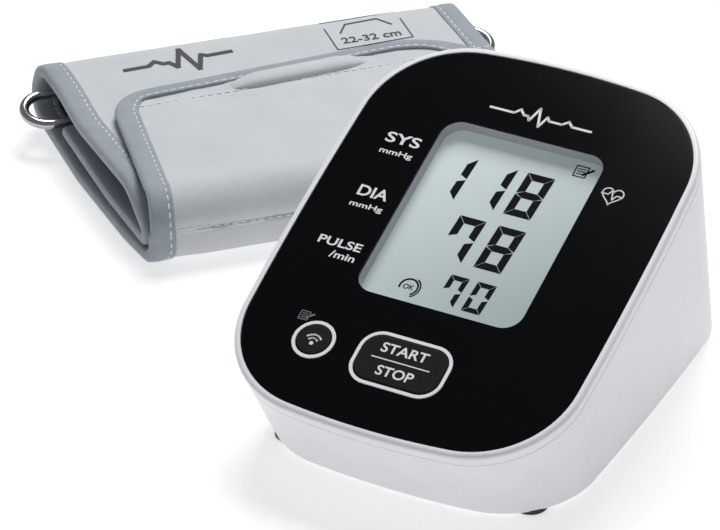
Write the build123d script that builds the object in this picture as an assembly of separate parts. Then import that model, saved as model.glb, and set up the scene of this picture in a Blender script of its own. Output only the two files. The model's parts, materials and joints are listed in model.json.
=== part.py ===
from build123d import *
import math
import os

# Upper-arm blood pressure monitor with its folded cuff.
# Millimetres, +Z up, everything stands or lies on z = 0, and the origin is under the middle of the set.
# The monitor is square to the axes: +X is its right side, -Y its front. The cuff lies behind its left side.

# ---------------------------------------------------------------- driving dimensions: monitor
PANEL_TILT = 24.6            # slope of the display panel, degrees from level
PANEL_HEIGHT = 55.84         # centre of the panel above the table
PANEL_HALF_WIDTH = 51.85
PANEL_HALF_LENGTH = 66.4
SIDE_BOW_RADIUS = 1130.0     # the panel's sides and ends are slightly bowed outwards
END_BOW_RADIUS = 252.0
CORNER_RADIUS = 28.9
RIM_WIDTH = 2.15             # white rim outside the panel
RIM_HEIGHT = 0.3             # the rim stands this much above the panel
DRAFT = 5.4                  # taper of the body below the rim, degrees
COVER_DEPTH = 4.0            # from the panel's surface to the parting line
WALL = 2.2
PANEL_THICKNESS = 0.8
DECK_THICKNESS = 1.4         # the cover's plate under the panel
SEAM_CHAMFER = 0.25          # both edges of the parting line
FOOT_HEIGHT = 0.6
FLOOR_THICKNESS = 2.2
BASE_EDGE_RADIUS = 2.0

WINDOW_HALF = (25.8, 32.0)   # display window: half width, half length
WINDOW_CENTRE = (0.15, 8.6)
WINDOW_CORNER = 5.85
GLASS_DEPTH = 4.6            # display glass below the panel's surface
FRAME_WALL = 1.2

BUTTON_GAP = 0.12
COLLAR_WIDTH = 1.0
START_CENTRE = (0.0, -43.6)
START_HALF = (14.4, 9.0)     # outside of the start button's white collar
START_CORNER = 6.56
START_TRAVEL = 0.8
LINK_CENTRE = (-27.6, -43.5)
LINK_RADIUS = 6.36           # outside of the link button's white collar
LINK_TRAVEL = 0.6
DOME_GAP = 0.4               # left under a stem when its button is fully pressed
DOME_BASE = 1.0              # foot of the domes above the board
BUTTON_TOP = 0.5             # button faces above the panel's surface
COLLAR_TOP = 0.35
COLLAR_BOTTOM = -4.5
FLANGE_THICKNESS = 1.0
STEM_BOTTOM = -7.0
STEM_RADIUS = 3.0

BOARD_TOP = -11.0            # main board, measured along the panel's normal
BOARD_THICKNESS = 1.6
BOARD_HALF = (35.0, 57.0)

SCREW_RADIUS = 1.4
SCREW_HEAD_RADIUS = 2.8
SCREW_HEAD_HEIGHT = 1.8
SCREW_HEAD_BASE = 5.0
POST_RADIUS = 4.3
# x, y, and the height where the base's post meets the cover's
POSTS = [(-41.0, -25.0, 25.0), (41.0, -25.0, 25.0), (-40.0, 40.0, 40.0), (40.0, 40.0, 40.0)]

CELL_RADIUS = 7.1            # AA cells
CELL_LENGTH = 49.0
CELL_PITCH = 15.4
CELL_COUNT = 4
CELL_START = 26.6            # front end of the cells
TRAY_HALF_WIDTH = 32.0
TRAY_FRONT = 19.0
TRAY_BACK = 82.0
TRAY_TOP = 20.0
TRAY_WALL = 1.2
COVER_HALF_WIDTH = 33.0      # battery cover
COVER_FRONT = 16.0
COVER_THICKNESS = 1.6
COVER_GAP = 0.2
TONGUE = 1.2
NUB_RADIUS = 2.7             # positive end of a cell
NUB_LENGTH = 1.3
SPRING_WIRE = 0.4
SPRING_LENGTH = 4.6
CONTACT_HALF = 5.5

PUMP_CENTRE = (-6.0, 19.0)   # y, z of the pump's axis, which runs along X
MOTOR_START = -34.0
MOTOR_LENGTH = 31.0
MOTOR_RADIUS = 12.0
MOTOR_SKIN = 1.2
MAGNET_THICKNESS = 1.8
ARMATURE_RADIUS = 8.2
SHAFT_RADIUS = 1.0
SHAFT_CLEARANCE = 0.05
HEAD_SIZE = 25.0
HEAD_LENGTH = 22.0
ECCENTRIC_RADIUS = 4.5
ECCENTRIC_OFFSET = 1.2

VALVE_CENTRE = (30.0, -22.5)
VALVE_SIZE = 11.0
VALVE_BASE = 4.0
VALVE_HEIGHT = 15.0
PLUNGER_RADIUS = 2.0
PLUNGER_TRAVEL = 0.6

TUBE_RADIUS = 2.0            # the silicone tubes inside the monitor
TUBE_BORE = 1.2
SOCKET_Y = 12.0              # air socket in the left wall
SOCKET_Z = 30.0
SOCKET_BORE = 3.4
SOCKET_OUTER = 4.6
SOCKET_MOUTH = -50.6
SOCKET_DEPTH = 12.0
MANIFOLD_LOW = (25.0, 8.0, 22.0)
MANIFOLD_HIGH = (35.0, 17.5, 33.0)
SENSOR_PLACE = (30.0, -10.4)  # on the board, right above the air manifold
SENSOR_HEIGHT = 5.0
SENSOR_NIPPLE = 3.0

JACK_RADIUS = 3.6             # power socket
JACK_BORE = 2.75
JACK_PIN = 0.85
JACK_DEPTH = 9.0
JACK_PLACE = (-14.0, 46.0)    # x and height of its mouth in the back wall
BACK_WALL_AT_JACK = 75.3      # y of the back wall's outside there

STRIP_HALF = (22.0, 0.9)      # contact strip under the display glass
ANTENNA_PLACE = (-26.0, -27.0)
FOOT_RADIUS = 5.0
FOOT_PLACES = [(-38.0, -34.0), (38.0, -34.0), (-39.5, 62.0), (39.5, 62.0)]
BODY_DEPTH = 112.0            # more than the distance from the panel to the table along the panel's normal

# ---------------------------------------------------------------- driving dimensions: cuff
CUFF_CORNER = (-122.5, 27.5)  # near left corner of the folded cuff, from the monitor's centre
CUFF_TURN = 47.0              # direction of the folds, degrees from the monitor's width
CUFF_END_SKEW = 5.9           # the cuff's ends lean this far back from square to the folds, degrees
CUFF_WIDTH = 141.0
STRIP = 3.2                   # thickness of the fabric sandwich
SKIN = 0.7                    # its cover and its lining
TAPE_SKIN = 0.45
TAPE_WIDTH = 7.5
END_TAPE_WIDTH = 4.5          # along the flap's end
BLADDER_MARGIN = 10.0
CREASE_SKIN = 1.3
CREASE_START = 12.6           # height of the seam where the flap is sewn on
CREASE_RADIUS = 10.0
FLAP_START = 8.0
FLAP_LOW = 21.8
HOOK_SKIN = 0.9
FLAP_LINING = 0.5
FLAP_SKIN = 0.8
RIDGE_HEIGHT = 3.2
RING_WIRE = 3.2
RING_BEND = 7.4               # radius of the ring's round ends, to the middle of the wire
RING_LENGTH = 161.0
RING_TILT = 12.0
RING_CENTRE = (85.0, 12.6)    # along the cuff's depth, and height
SLEEVE_SKIN = 0.7
SLEEVE_GAP = 0.15
GLAND = (46.0, 11.0, 12.0)    # hose gland: place along the layer, its breadth and its length
GLAND_HEIGHT = 7.85
GLAND_STANDS_OUT = 1.0
NIPPLE_RADIUS = 2.0
NIPPLE_BORE = 1.2
NIPPLE_LENGTH = 9.0
NIPPLE_FOOT = 0.5             # the nipple widens into the gland over this length
NIPPLE_FOOT_RADIUS = 2.35
NIPPLE_TIP = 0.4              # its tip is tapered over this length
NIPPLE_TIP_RADIUS = 1.7

# ---------------------------------------------------------------- the monitor's own planes
tilt = math.radians(PANEL_TILT)
panel_plane = Plane(origin=(0, 0, PANEL_HEIGHT), x_dir=(1, 0, 0), z_dir=(0, -math.sin(tilt), math.cos(tilt)))
draft_slope = math.tan(math.radians(DRAFT))
deck_bottom = -PANEL_THICKNESS - DECK_THICKNESS
board_bottom = BOARD_TOP - BOARD_THICKNESS
glass_thickness = 1.6
STANDING = (Align.CENTER, Align.CENTER, Align.MIN)   # a cylinder that starts at its own place


def bowed_outline(grow):
    """Rounded outline of the panel, grown by a distance, as a face in XY."""
    side_r = SIDE_BOW_RADIUS + grow
    end_r = END_BOW_RADIUS + grow
    corner_r = CORNER_RADIUS + grow
    side = Vector(PANEL_HALF_WIDTH - SIDE_BOW_RADIUS, 0)
    end = Vector(0, PANEL_HALF_LENGTH - END_BOW_RADIUS)
    to_side = side_r - corner_r
    to_end = end_r - corner_r
    # the corner's hub is where two circles about the bow centres meet
    span = end - side
    reach = (to_side**2 - to_end**2 + span.length**2) / (2 * span.length)
    across = math.sqrt(to_side**2 - reach**2)
    unit = span.normalized()
    hub = side + unit * reach + Vector(-unit.Y, unit.X) * across
    side_point = side + (hub - side).normalized() * side_r
    end_point = end + (hub - end).normalized() * end_r
    middle = hub + ((side_point - hub) + (end_point - hub)).normalized() * corner_r
    side_x = side.X + side_r
    end_y = end.Y + end_r
    (sx, sy), (mx, my), (ex, ey) = ((point.X, point.Y) for point in (side_point, middle, end_point))
    # ends and middles of the eight arcs, counterclockwise from the right side's start
    stops = [(sx, -sy), (side_x, 0), (sx, sy), (mx, my), (ex, ey), (0, end_y), (-ex, ey), (-mx, my),
             (-sx, sy), (-side_x, 0), (-sx, -sy), (-mx, -my), (-ex, -ey), (0, -end_y), (ex, -ey), (mx, -my)]
    edges = []
    for index in range(0, len(stops), 2):
        edges.append(ThreePointArc(stops[index], stops[index + 1], stops[(index + 2) % len(stops)]))
    return make_face(Wire(edges))


def outline_slab(grow, low, high):
    """The panel's outline, grown and extruded between two levels below or above the panel's surface."""
    return extrude(Pos(0, 0, low) * bowed_outline(grow), high - low)


def drafted(inset, low, high):
    """The body's tapering outside, moved in by inset, between two levels."""
    faces = []
    for level in (low, high):
        grow = RIM_WIDTH - inset - (RIM_HEIGHT - level) * draft_slope
        faces.append(Pos(0, 0, level) * bowed_outline(grow))
    return loft(faces, ruled=True)


def rounded_slab(centre, half, corner, low, high):
    shape = RectangleRounded(2 * half[0], 2 * half[1], corner)
    return extrude(Pos(centre[0], centre[1], low) * shape, high - low)


def round_slab(centre, radius, low, high):
    return extrude(Pos(centre[0], centre[1], low) * Circle(radius), high - low)


def block(low, high):
    """Box between two corners."""
    size = [b - a for a, b in zip(low, high)]
    return Pos(*low) * Box(*size, align=(Align.MIN, Align.MIN, Align.MIN))


def rod(start, end, radius):
    """Round bar between two points."""
    line = Line(start, end)
    return extrude(Plane(origin=start, z_dir=line % 0) * Circle(radius), line.length)


def grown(half, by):
    return tuple(side + by for side in half)


def on_panel(shape):
    """Move a shape made in the panel's own axes to its place."""
    return panel_plane * shape


# ---------------------------------------------------------------- monitor: covers
def make_top_cover():
    body = drafted(0, -COVER_DEPTH, RIM_HEIGHT)
    body = fillet(body.faces().sort_by(Axis.Z)[-1].edges(), 1.2)
    body = chamfer(body.faces().sort_by(Axis.Z)[0].edges(), SEAM_CHAMFER)
    body -= outline_slab(0.1, -PANEL_THICKNESS, RIM_HEIGHT + 1)
    body -= drafted(WALL, -COVER_DEPTH - 1, deck_bottom)
    opening = grown(WINDOW_HALF, FRAME_WALL + 0.1)
    body -= rounded_slab(WINDOW_CENTRE, opening, WINDOW_CORNER + FRAME_WALL, deck_bottom - 1, 0)
    body += rounded_slab(START_CENTRE, START_HALF, START_CORNER, COLLAR_BOTTOM, COLLAR_TOP)
    body += round_slab(LINK_CENTRE, LINK_RADIUS, COLLAR_BOTTOM, COLLAR_TOP)
    start_hole = grown(START_HALF, -COLLAR_WIDTH)
    body -= rounded_slab(START_CENTRE, start_hole, START_CORNER - COLLAR_WIDTH, COLLAR_BOTTOM - 1, 1)
    body -= round_slab(LINK_CENTRE, LINK_RADIUS - COLLAR_WIDTH, COLLAR_BOTTOM - 1, 1)
    body = on_panel(body)
    under_deck = on_panel(drafted(WALL / 2, -90, deck_bottom + DECK_THICKNESS / 2))
    for x, y, split in POSTS:
        post = Pos(x, y, split + 0.1) * Cylinder(POST_RADIUS, 60, align=STANDING)
        body += post & under_deck
        body -= Pos(x, y, split) * Cylinder(SCREW_RADIUS, 11, align=STANDING)
    return body


def make_base_housing():
    outside = on_panel(drafted(0, -BODY_DEPTH, -COVER_DEPTH))
    outside = chamfer(outside.faces().sort_by(Axis((0, 0, 0), panel_plane.z_dir))[-1].edges(), SEAM_CHAMFER)
    inside = on_panel(drafted(WALL, -BODY_DEPTH - 2, -COVER_DEPTH + 1))
    body = outside & block((-80, -100, FOOT_HEIGHT), (80, 150, 120))
    body = fillet(body.faces().sort_by(Axis.Z)[0].edges(), BASE_EDGE_RADIUS)
    body -= inside & block((-80, -100, FOOT_HEIGHT + FLOOR_THICKNESS), (80, 150, 120))
    for x, y, split in POSTS:
        body += Pos(x, y, FOOT_HEIGHT + 1) * Cylinder(POST_RADIUS, split - FOOT_HEIGHT - 1, align=STANDING)
        head_space = SCREW_HEAD_BASE + SCREW_HEAD_HEIGHT
        body -= Pos(x, y, 0) * Cylinder(SCREW_HEAD_RADIUS + 0.2, head_space, align=STANDING)
        body -= Pos(x, y, 0) * Cylinder(SCREW_RADIUS + 0.2, split + 1, align=STANDING)
    for x, y in FOOT_PLACES:
        body -= Pos(x, y, 0) * Cylinder(FOOT_RADIUS + 0.1, FOOT_HEIGHT + 1.0, align=STANDING)
    # way in for the battery cover, open at the back, with a groove along each side
    gap = COVER_HALF_WIDTH + COVER_GAP
    top = FOOT_HEIGHT + COVER_THICKNESS + COVER_GAP
    body -= block((-gap, COVER_FRONT - COVER_GAP, 0), (gap, 130, top))
    groove = gap + TONGUE
    body -= block((-groove, COVER_FRONT - COVER_GAP, FOOT_HEIGHT + 0.4), (groove, 130, top - 0.4))
    well = TRAY_HALF_WIDTH - TRAY_WALL
    well_top = FOOT_HEIGHT + FLOOR_THICKNESS + 1
    body -= block((-well, TRAY_FRONT + TRAY_WALL, 0), (well, TRAY_BACK - TRAY_WALL, well_top))
    body -= rod((-70, SOCKET_Y, SOCKET_Z), (-35, SOCKET_Y, SOCKET_Z), SOCKET_OUTER + 0.1)
    body -= rod(jack_point(30), jack_point(-30), JACK_RADIUS + 0.1)
    return body


back_lean = tilt - math.radians(DRAFT)


def jack_point(distance):
    """Point on the power socket's axis, measured outwards from the back wall."""
    x, z = JACK_PLACE
    return (x, BACK_WALL_AT_JACK + distance * math.cos(back_lean), z + distance * math.sin(back_lean))


def make_front_panel():
    body = outline_slab(0, -PANEL_THICKNESS, 0)
    body = fillet(body.faces().sort_by(Axis.Z)[-1].edges(), 0.3)
    body -= rounded_slab(WINDOW_CENTRE, WINDOW_HALF, WINDOW_CORNER, -2, 1)
    body -= rounded_slab(START_CENTRE, grown(START_HALF, 0.08), START_CORNER + 0.08, -2, 1)
    body -= round_slab(LINK_CENTRE, LINK_RADIUS + 0.08, -2, 1)
    return on_panel(body)


def make_display_window():
    half = grown(WINDOW_HALF, -0.03)
    return on_panel(rounded_slab(WINDOW_CENTRE, half, WINDOW_CORNER - 0.03, -PANEL_THICKNESS, 0))


def make_display_frame():
    bottom = -GLASS_DEPTH - glass_thickness
    outer = grown(WINDOW_HALF, FRAME_WALL)
    foot = grown(WINDOW_HALF, 2 * FRAME_WALL)
    body = rounded_slab(WINDOW_CENTRE, outer, WINDOW_CORNER + FRAME_WALL, bottom, -PANEL_THICKNESS)
    body += rounded_slab(WINDOW_CENTRE, foot, 3.0, bottom, deck_bottom)
    body -= rounded_slab(WINDOW_CENTRE, WINDOW_HALF, WINDOW_CORNER, bottom - 1, 0)
    body -= rounded_slab(WINDOW_CENTRE, grown(WINDOW_HALF, 0.9), 1.1, bottom - 1, -GLASS_DEPTH)
    return on_panel(body)


def make_display_glass():
    half = grown(WINDOW_HALF, 0.8)
    return on_panel(rounded_slab(WINDOW_CENTRE, half, 1.0, -GLASS_DEPTH - glass_thickness, -GLASS_DEPTH))


strip_y = WINDOW_CENTRE[1] - WINDOW_HALF[1] + 2.0


def make_display_holder():
    top = -GLASS_DEPTH - glass_thickness
    body = rounded_slab(WINDOW_CENTRE, grown(WINDOW_HALF, 2.2), 3.0, top - 1.2, top)
    body -= rounded_slab((0, strip_y), grown(STRIP_HALF, 0.3), 0.5, top - 2, top + 1)
    for x in (-24.0, 24.0):
        for y in (-18.0, 36.0):
            body += round_slab((x, y), 2.0, BOARD_TOP, top - 1.2)
    return on_panel(body)


def make_contact_strip():
    return on_panel(rounded_slab((0, strip_y), STRIP_HALF, 0.4, BOARD_TOP, -GLASS_DEPTH - glass_thickness))


# ---------------------------------------------------------------- monitor: buttons
def make_start_button():
    half = grown(START_HALF, -COLLAR_WIDTH - BUTTON_GAP)
    corner = START_CORNER - COLLAR_WIDTH - BUTTON_GAP
    flange_top = COLLAR_BOTTOM - 0.05
    body = rounded_slab(START_CENTRE, half, corner, flange_top - FLANGE_THICKNESS, BUTTON_TOP)
    body = fillet(body.faces().sort_by(Axis.Z)[-1].edges(), 0.7)
    body += rounded_slab(START_CENTRE, START_HALF, START_CORNER, flange_top - FLANGE_THICKNESS, flange_top)
    body -= rounded_slab(START_CENTRE, grown(half, -1.3), corner - 1.3, flange_top - 2, BUTTON_TOP - 1.5)
    body += round_slab(START_CENTRE, STEM_RADIUS, STEM_BOTTOM, BUTTON_TOP - 1.0)
    return on_panel(body)


def make_link_button():
    radius = LINK_RADIUS - COLLAR_WIDTH - BUTTON_GAP
    flange_top = COLLAR_BOTTOM - 0.05
    body = round_slab(LINK_CENTRE, radius, flange_top - FLANGE_THICKNESS, BUTTON_TOP)
    body = fillet(body.faces().sort_by(Axis.Z)[-1].edges(), 0.6)
    body += round_slab(LINK_CENTRE, LINK_RADIUS, flange_top - FLANGE_THICKNESS, flange_top)
    body -= round_slab(LINK_CENTRE, radius - 1.3, flange_top - 2, BUTTON_TOP - 1.5)
    body += round_slab(LINK_CENTRE, STEM_RADIUS - 1, STEM_BOTTOM, BUTTON_TOP - 1.0)
    return on_panel(body)


def make_key_pad():
    """Rubber sheet on the board, with a dome under each button's stem."""
    middle = (-13.0, START_CENTRE[1])
    body = rounded_slab(middle, (21.5, 7.0), 3.0, BOARD_TOP, BOARD_TOP + 1.2)
    base = BOARD_TOP + DOME_BASE
    for centre, travel in ((START_CENTRE, START_TRAVEL), (LINK_CENTRE, LINK_TRAVEL)):
        height = STEM_BOTTOM - travel - DOME_GAP - base
        body += Pos(centre[0], centre[1], base) * Cone(4.0, 2.6, height, align=STANDING)
    return on_panel(body)


# ---------------------------------------------------------------- monitor: board and what is on it
def make_main_board():
    return on_panel(rounded_slab((0, 1.0), BOARD_HALF, 4.0, board_bottom, BOARD_TOP))


def make_board_chips():
    chips = []
    # centre x, centre y, half width, half length, height
    for x, y, half_x, half_y, height in (
            (-8, 14, 6.0, 6.0, 1.6), (8, 18, 3.0, 2.5, 1.5), (-24, 30, 4.0, 2.0, 1.5),
            (-22, 12, 2.2, 1.2, 1.2), (4, 34, 2.2, 1.2, 1.2), (18, 34, 5.0, 3.0, 2.2)):
        chips.append(rounded_slab((x, y), (half_x, half_y), 0.3, board_bottom - height, board_bottom))
    for x, y in ((-24, -14), (-14, -14)):
        chips.append(round_slab((x, y), 3.1, board_bottom - 7.0, board_bottom))
    return on_panel(Compound(children=chips))


def make_pressure_sensor():
    body = rounded_slab(SENSOR_PLACE, (4.0, 4.0), 0.6, board_bottom - SENSOR_HEIGHT, board_bottom)
    nipple_end = board_bottom - SENSOR_HEIGHT - SENSOR_NIPPLE
    body += round_slab(SENSOR_PLACE, TUBE_BORE, nipple_end, board_bottom - 1)
    return on_panel(body)


def make_antenna_module():
    body = rounded_slab(ANTENNA_PLACE, (7.0, 4.0), 0.5, BOARD_TOP, BOARD_TOP + 1.0)
    body += rounded_slab(ANTENNA_PLACE, (5.0, 3.0), 0.4, BOARD_TOP + 1.0, BOARD_TOP + 2.6)
    return on_panel(body)


# ---------------------------------------------------------------- monitor: air pump, valve and tubes
def pump_rod(x_start, x_end, radius):
    y, z = PUMP_CENTRE
    return rod((x_start, y, z), (x_end, y, z), radius)


motor_end = MOTOR_START + MOTOR_LENGTH
head_end = motor_end + HEAD_LENGTH


def make_pump_motor():
    body = pump_rod(MOTOR_START, motor_end, MOTOR_RADIUS)
    body -= pump_rod(MOTOR_START + 2, motor_end - 2, MOTOR_RADIUS - MOTOR_SKIN)
    body -= pump_rod(MOTOR_START - 1, motor_end + 1, SHAFT_RADIUS + SHAFT_CLEARANCE)
    return body


def make_pump_magnets():
    y, z = PUMP_CENTRE
    inner = MOTOR_RADIUS - MOTOR_SKIN - MAGNET_THICKNESS
    ring = pump_rod(MOTOR_START + 4, motor_end - 4, MOTOR_RADIUS - MOTOR_SKIN)
    ring -= pump_rod(MOTOR_START + 3, motor_end - 3, inner)
    ring -= block((MOTOR_START, y - 20, z - 4), (motor_end, y + 20, z + 4))
    return ring


def make_pump_rotor():
    y, z = PUMP_CENTRE
    body = pump_rod(MOTOR_START + 0.5, motor_end + 11, SHAFT_RADIUS)
    body += pump_rod(MOTOR_START + 5, motor_end - 5, ARMATURE_RADIUS)
    body += pump_rod(MOTOR_START + 2.6, MOTOR_START + 5, 3.0)
    offset = z + ECCENTRIC_OFFSET
    body += rod((motor_end + 4, y, offset), (motor_end + 10, y, offset), ECCENTRIC_RADIUS)
    return body


def make_pump_head():
    y, z = PUMP_CENTRE
    half = HEAD_SIZE / 2
    body = block((motor_end, y - half, z - half), (head_end, y + half, z + half))
    body = fillet(body.edges().filter_by(Axis.X), 4.0)
    body -= pump_rod(motor_end - 1, motor_end + 3, SHAFT_RADIUS + SHAFT_CLEARANCE)
    body -= pump_rod(motor_end + 2.5, motor_end + 13, 9.0)
    body += rod((head_end, y, z + 6), (head_end + 5, y, z + 6), TUBE_BORE)
    return body


def make_pump_diaphragm():
    """Rubber disc with three cups, clamped in front of the eccentric."""
    y, z = PUMP_CENTRE
    body = pump_rod(motor_end + 12.0, motor_end + 13.0, 9.0)
    for index in range(3):
        angle = math.radians(90 + 120 * index)
        cy = y + 5.0 * math.cos(angle)
        cz = z + 5.0 * math.sin(angle)
        body += rod((motor_end + 11.2, cy, cz), (motor_end + 12.1, cy, cz), 2.6)
    return body


def make_valve_body():
    x, y = VALVE_CENTRE
    half = VALVE_SIZE / 2
    body = block((x - half, y - half, VALVE_BASE), (x + half, y + half, VALVE_BASE + VALVE_HEIGHT))
    body -= Pos(x, y, VALVE_BASE + 3) * Cylinder(PLUNGER_RADIUS + 0.1, VALVE_HEIGHT - 6, align=STANDING)
    body -= Pos(x, y, VALVE_BASE - 1) * Cylinder(0.8, 5, align=STANDING)
    body += Pos(x, y, VALVE_BASE + VALVE_HEIGHT) * Cylinder(TUBE_BORE, 4, align=STANDING)
    return body


def make_valve_plunger():
    x, y = VALVE_CENTRE
    length = VALVE_HEIGHT - 6 - PLUNGER_TRAVEL - 0.1
    return Pos(x, y, VALVE_BASE + 3.05) * Cylinder(PLUNGER_RADIUS, length, align=STANDING)


def make_air_manifold():
    body = block(MANIFOLD_LOW, MANIFOLD_HIGH)
    return fillet(body.edges(), 1.2)


def make_air_socket():
    inner_end = SOCKET_MOUTH + SOCKET_DEPTH + 1.5
    body = rod((SOCKET_MOUTH, SOCKET_Y, SOCKET_Z), (inner_end, SOCKET_Y, SOCKET_Z), SOCKET_OUTER)
    outside = on_panel(drafted(-0.5, -BODY_DEPTH, 0))
    body = body & outside
    body += rod((inner_end - 4, SOCKET_Y, SOCKET_Z), (inner_end, SOCKET_Y, SOCKET_Z), SOCKET_OUTER + 1.5)
    mouth = (SOCKET_MOUTH - 1, SOCKET_Y, SOCKET_Z)
    body -= rod(mouth, (inner_end - 1.5, SOCKET_Y, SOCKET_Z), SOCKET_BORE)
    body += rod((inner_end - 0.5, SOCKET_Y, SOCKET_Z), (inner_end + 5, SOCKET_Y, SOCKET_Z), TUBE_BORE)
    return body


def tube(points, radius):
    """Hollow silicone tube along straight runs joined by arcs."""
    path = FilletPolyline(*points, radius=radius) if len(points) > 2 else Line(*points)
    start = Plane(origin=path @ 0, z_dir=path % 0)
    ring = start * (Circle(TUBE_RADIUS) - Circle(TUBE_BORE))
    return sweep(ring, path=path)


def make_air_tubes():
    pump_y, pump_z = PUMP_CENTRE
    front = MANIFOLD_LOW[1]
    tubes = []
    level = pump_z + 6
    tubes.append(tube([(head_end + 0.2, pump_y, level), (30, pump_y, level), (30, front, level)], 5.0))
    x, y = VALVE_CENTRE
    top = VALVE_BASE + VALVE_HEIGHT + 0.2
    tubes.append(tube([(x, y, top), (x, y, 30), (x, front, 30)], 5.0))
    middle = (MANIFOLD_LOW[1] + MANIFOLD_HIGH[1]) / 2
    socket_end = SOCKET_MOUTH + SOCKET_DEPTH + 1.7
    tubes.append(tube([(MANIFOLD_LOW[0], middle, 28), (12, middle, 28), (-14, SOCKET_Y, SOCKET_Z),
                       (socket_end, SOCKET_Y, SOCKET_Z)], 12.0))
    nipple = board_bottom - SENSOR_HEIGHT - 0.2
    sensor_tube = round_slab(SENSOR_PLACE, TUBE_RADIUS, nipple - 12, nipple)
    sensor_tube -= round_slab(SENSOR_PLACE, TUBE_BORE, nipple - 13, nipple + 1)
    above = block((0, -40, MANIFOLD_HIGH[2]), (60, 60, 90))
    tubes.append(on_panel(sensor_tube) & above)
    return Compound(children=[Compound(children=solid_list(part)) for part in tubes])


def solid_list(shape):
    return list(shape.solids())


# ---------------------------------------------------------------- monitor: power, feet and screws
def make_power_socket():
    body = rod(jack_point(-JACK_DEPTH - 1), jack_point(0.4), JACK_RADIUS)
    body += rod(jack_point(-JACK_DEPTH - 1), jack_point(-WALL - 0.6), JACK_RADIUS + 1.4)
    body -= rod(jack_point(-JACK_DEPTH), jack_point(1), JACK_BORE)
    body += rod(jack_point(-JACK_DEPTH - 0.5), jack_point(-1.0), JACK_PIN)
    return body


def cell_places():
    first = -CELL_PITCH * (CELL_COUNT - 1) / 2
    return [first + CELL_PITCH * index for index in range(CELL_COUNT)]


cell_height = FOOT_HEIGHT + COVER_THICKNESS + 0.9 + CELL_RADIUS


def make_cell(index):
    """One AA cell. Neighbouring cells point opposite ways."""
    x = cell_places()[index]
    back = CELL_START + CELL_LENGTH
    body = rod((x, CELL_START, cell_height), (x, back, cell_height), CELL_RADIUS)
    body = fillet(body.edges().filter_by(GeomType.CIRCLE), 0.5)
    if index % 2 == 0:
        body += rod((x, back - 0.5, cell_height), (x, back + NUB_LENGTH, cell_height), NUB_RADIUS)
    else:
        nub_end = (x, CELL_START - NUB_LENGTH, cell_height)
        body += rod(nub_end, (x, CELL_START + 0.5, cell_height), NUB_RADIUS)
    return body


def make_battery_tray():
    low = FOOT_HEIGHT + FLOOR_THICKNESS
    body = block((-TRAY_HALF_WIDTH, TRAY_FRONT, low), (TRAY_HALF_WIDTH, TRAY_BACK, TRAY_TOP))
    inner = TRAY_HALF_WIDTH - TRAY_WALL
    inner_back = (inner, TRAY_BACK - TRAY_WALL, TRAY_TOP - TRAY_WALL)
    body -= block((-inner, TRAY_FRONT + TRAY_WALL, low - 1), inner_back)
    inside = on_panel(drafted(WALL + 0.1, -BODY_DEPTH, 0))
    return body & inside


def make_battery_springs():
    """One cone-shaped wire spring at the flat end of each cell."""
    springs = []
    for index, x in enumerate(cell_places()):
        path = Helix(pitch=1.2, height=SPRING_LENGTH - 2 * SPRING_WIRE, radius=4.6, cone_angle=-22)
        wire = sweep(Plane(origin=path @ 0, z_dir=path % 0) * Circle(SPRING_WIRE), path=path)
        wire = Pos(0, 0, SPRING_WIRE) * wire
        if index % 2 == 0:
            turn = Location((x, CELL_START - SPRING_LENGTH, cell_height), (-90, 0, 0))
        else:
            turn = Location((x, CELL_START + CELL_LENGTH + SPRING_LENGTH, cell_height), (90, 0, 0))
        springs.append(turn * wire)
    return Compound(children=springs)


def make_battery_contacts():
    """Plates at both ends of the tray: one behind each spring or against each nub."""
    half = CONTACT_HALF
    plates = []
    for index, x in enumerate(cell_places()):
        front_gap = SPRING_LENGTH if index % 2 == 0 else NUB_LENGTH
        back_gap = NUB_LENGTH if index % 2 == 0 else SPRING_LENGTH
        front = CELL_START - front_gap
        back = CELL_START + CELL_LENGTH + back_gap
        for y in (front - 0.5, back):
            plates.append(block((x - half, y, cell_height - half), (x + half, y + 0.5, cell_height + half)))
    return Compound(children=plates)


def make_battery_cover():
    low = FOOT_HEIGHT
    high = FOOT_HEIGHT + COVER_THICKNESS
    body = block((-COVER_HALF_WIDTH, COVER_FRONT, low), (COVER_HALF_WIDTH, 130, high))
    edge = COVER_HALF_WIDTH + TONGUE - 0.2
    body += block((-edge, COVER_FRONT, low + 0.6), (edge, 130, high - 0.4))
    body = body & on_panel(drafted(0.4, -BODY_DEPTH, 0))
    # finger grooves near the back edge
    for index in range(4):
        y = 70.0 + 3.2 * index
        body -= block((-9, y, low - 1), (9, y + 1.4, low + 0.5))
    return body


def make_rubber_feet():
    feet = []
    for x, y in FOOT_PLACES:
        foot = Pos(x, y, 0) * Cylinder(FOOT_RADIUS, FOOT_HEIGHT + 0.95, align=STANDING)
        feet.append(chamfer(foot.faces().sort_by(Axis.Z)[0].edges(), 0.25))
    return Compound(children=feet)


def make_housing_screws():
    screws = []
    for x, y, split in POSTS:
        top = SCREW_HEAD_BASE + SCREW_HEAD_HEIGHT
        screw = Pos(x, y, SCREW_HEAD_BASE) * Cylinder(SCREW_HEAD_RADIUS, SCREW_HEAD_HEIGHT, align=STANDING)
        screw += Pos(x, y, top - 0.2) * Cylinder(SCREW_RADIUS - 0.02, split - top + 10, align=STANDING)
        screw -= Pos(x, y, SCREW_HEAD_BASE - 0.5) * Box(0.8, 3.6, 1.6, align=STANDING)
        screw -= Pos(x, y, SCREW_HEAD_BASE - 0.5) * Box(3.6, 0.8, 1.6, align=STANDING)
        screws.append(screw)
    return Compound(children=screws)


# ---------------------------------------------------------------- cuff: frame and fold profile
turn = math.radians(CUFF_TURN)
along = Vector(math.cos(turn), math.sin(turn), 0)        # along the folds, left to right
deep = Vector(-math.sin(turn), math.cos(turn), 0)        # from the near fold to the far fold
skew = math.radians(CUFF_END_SKEW)
end_line = deep * math.cos(skew) - along * math.sin(skew)
cuff_corner = Vector(CUFF_CORNER[0], CUFF_CORNER[1], 0)
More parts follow.
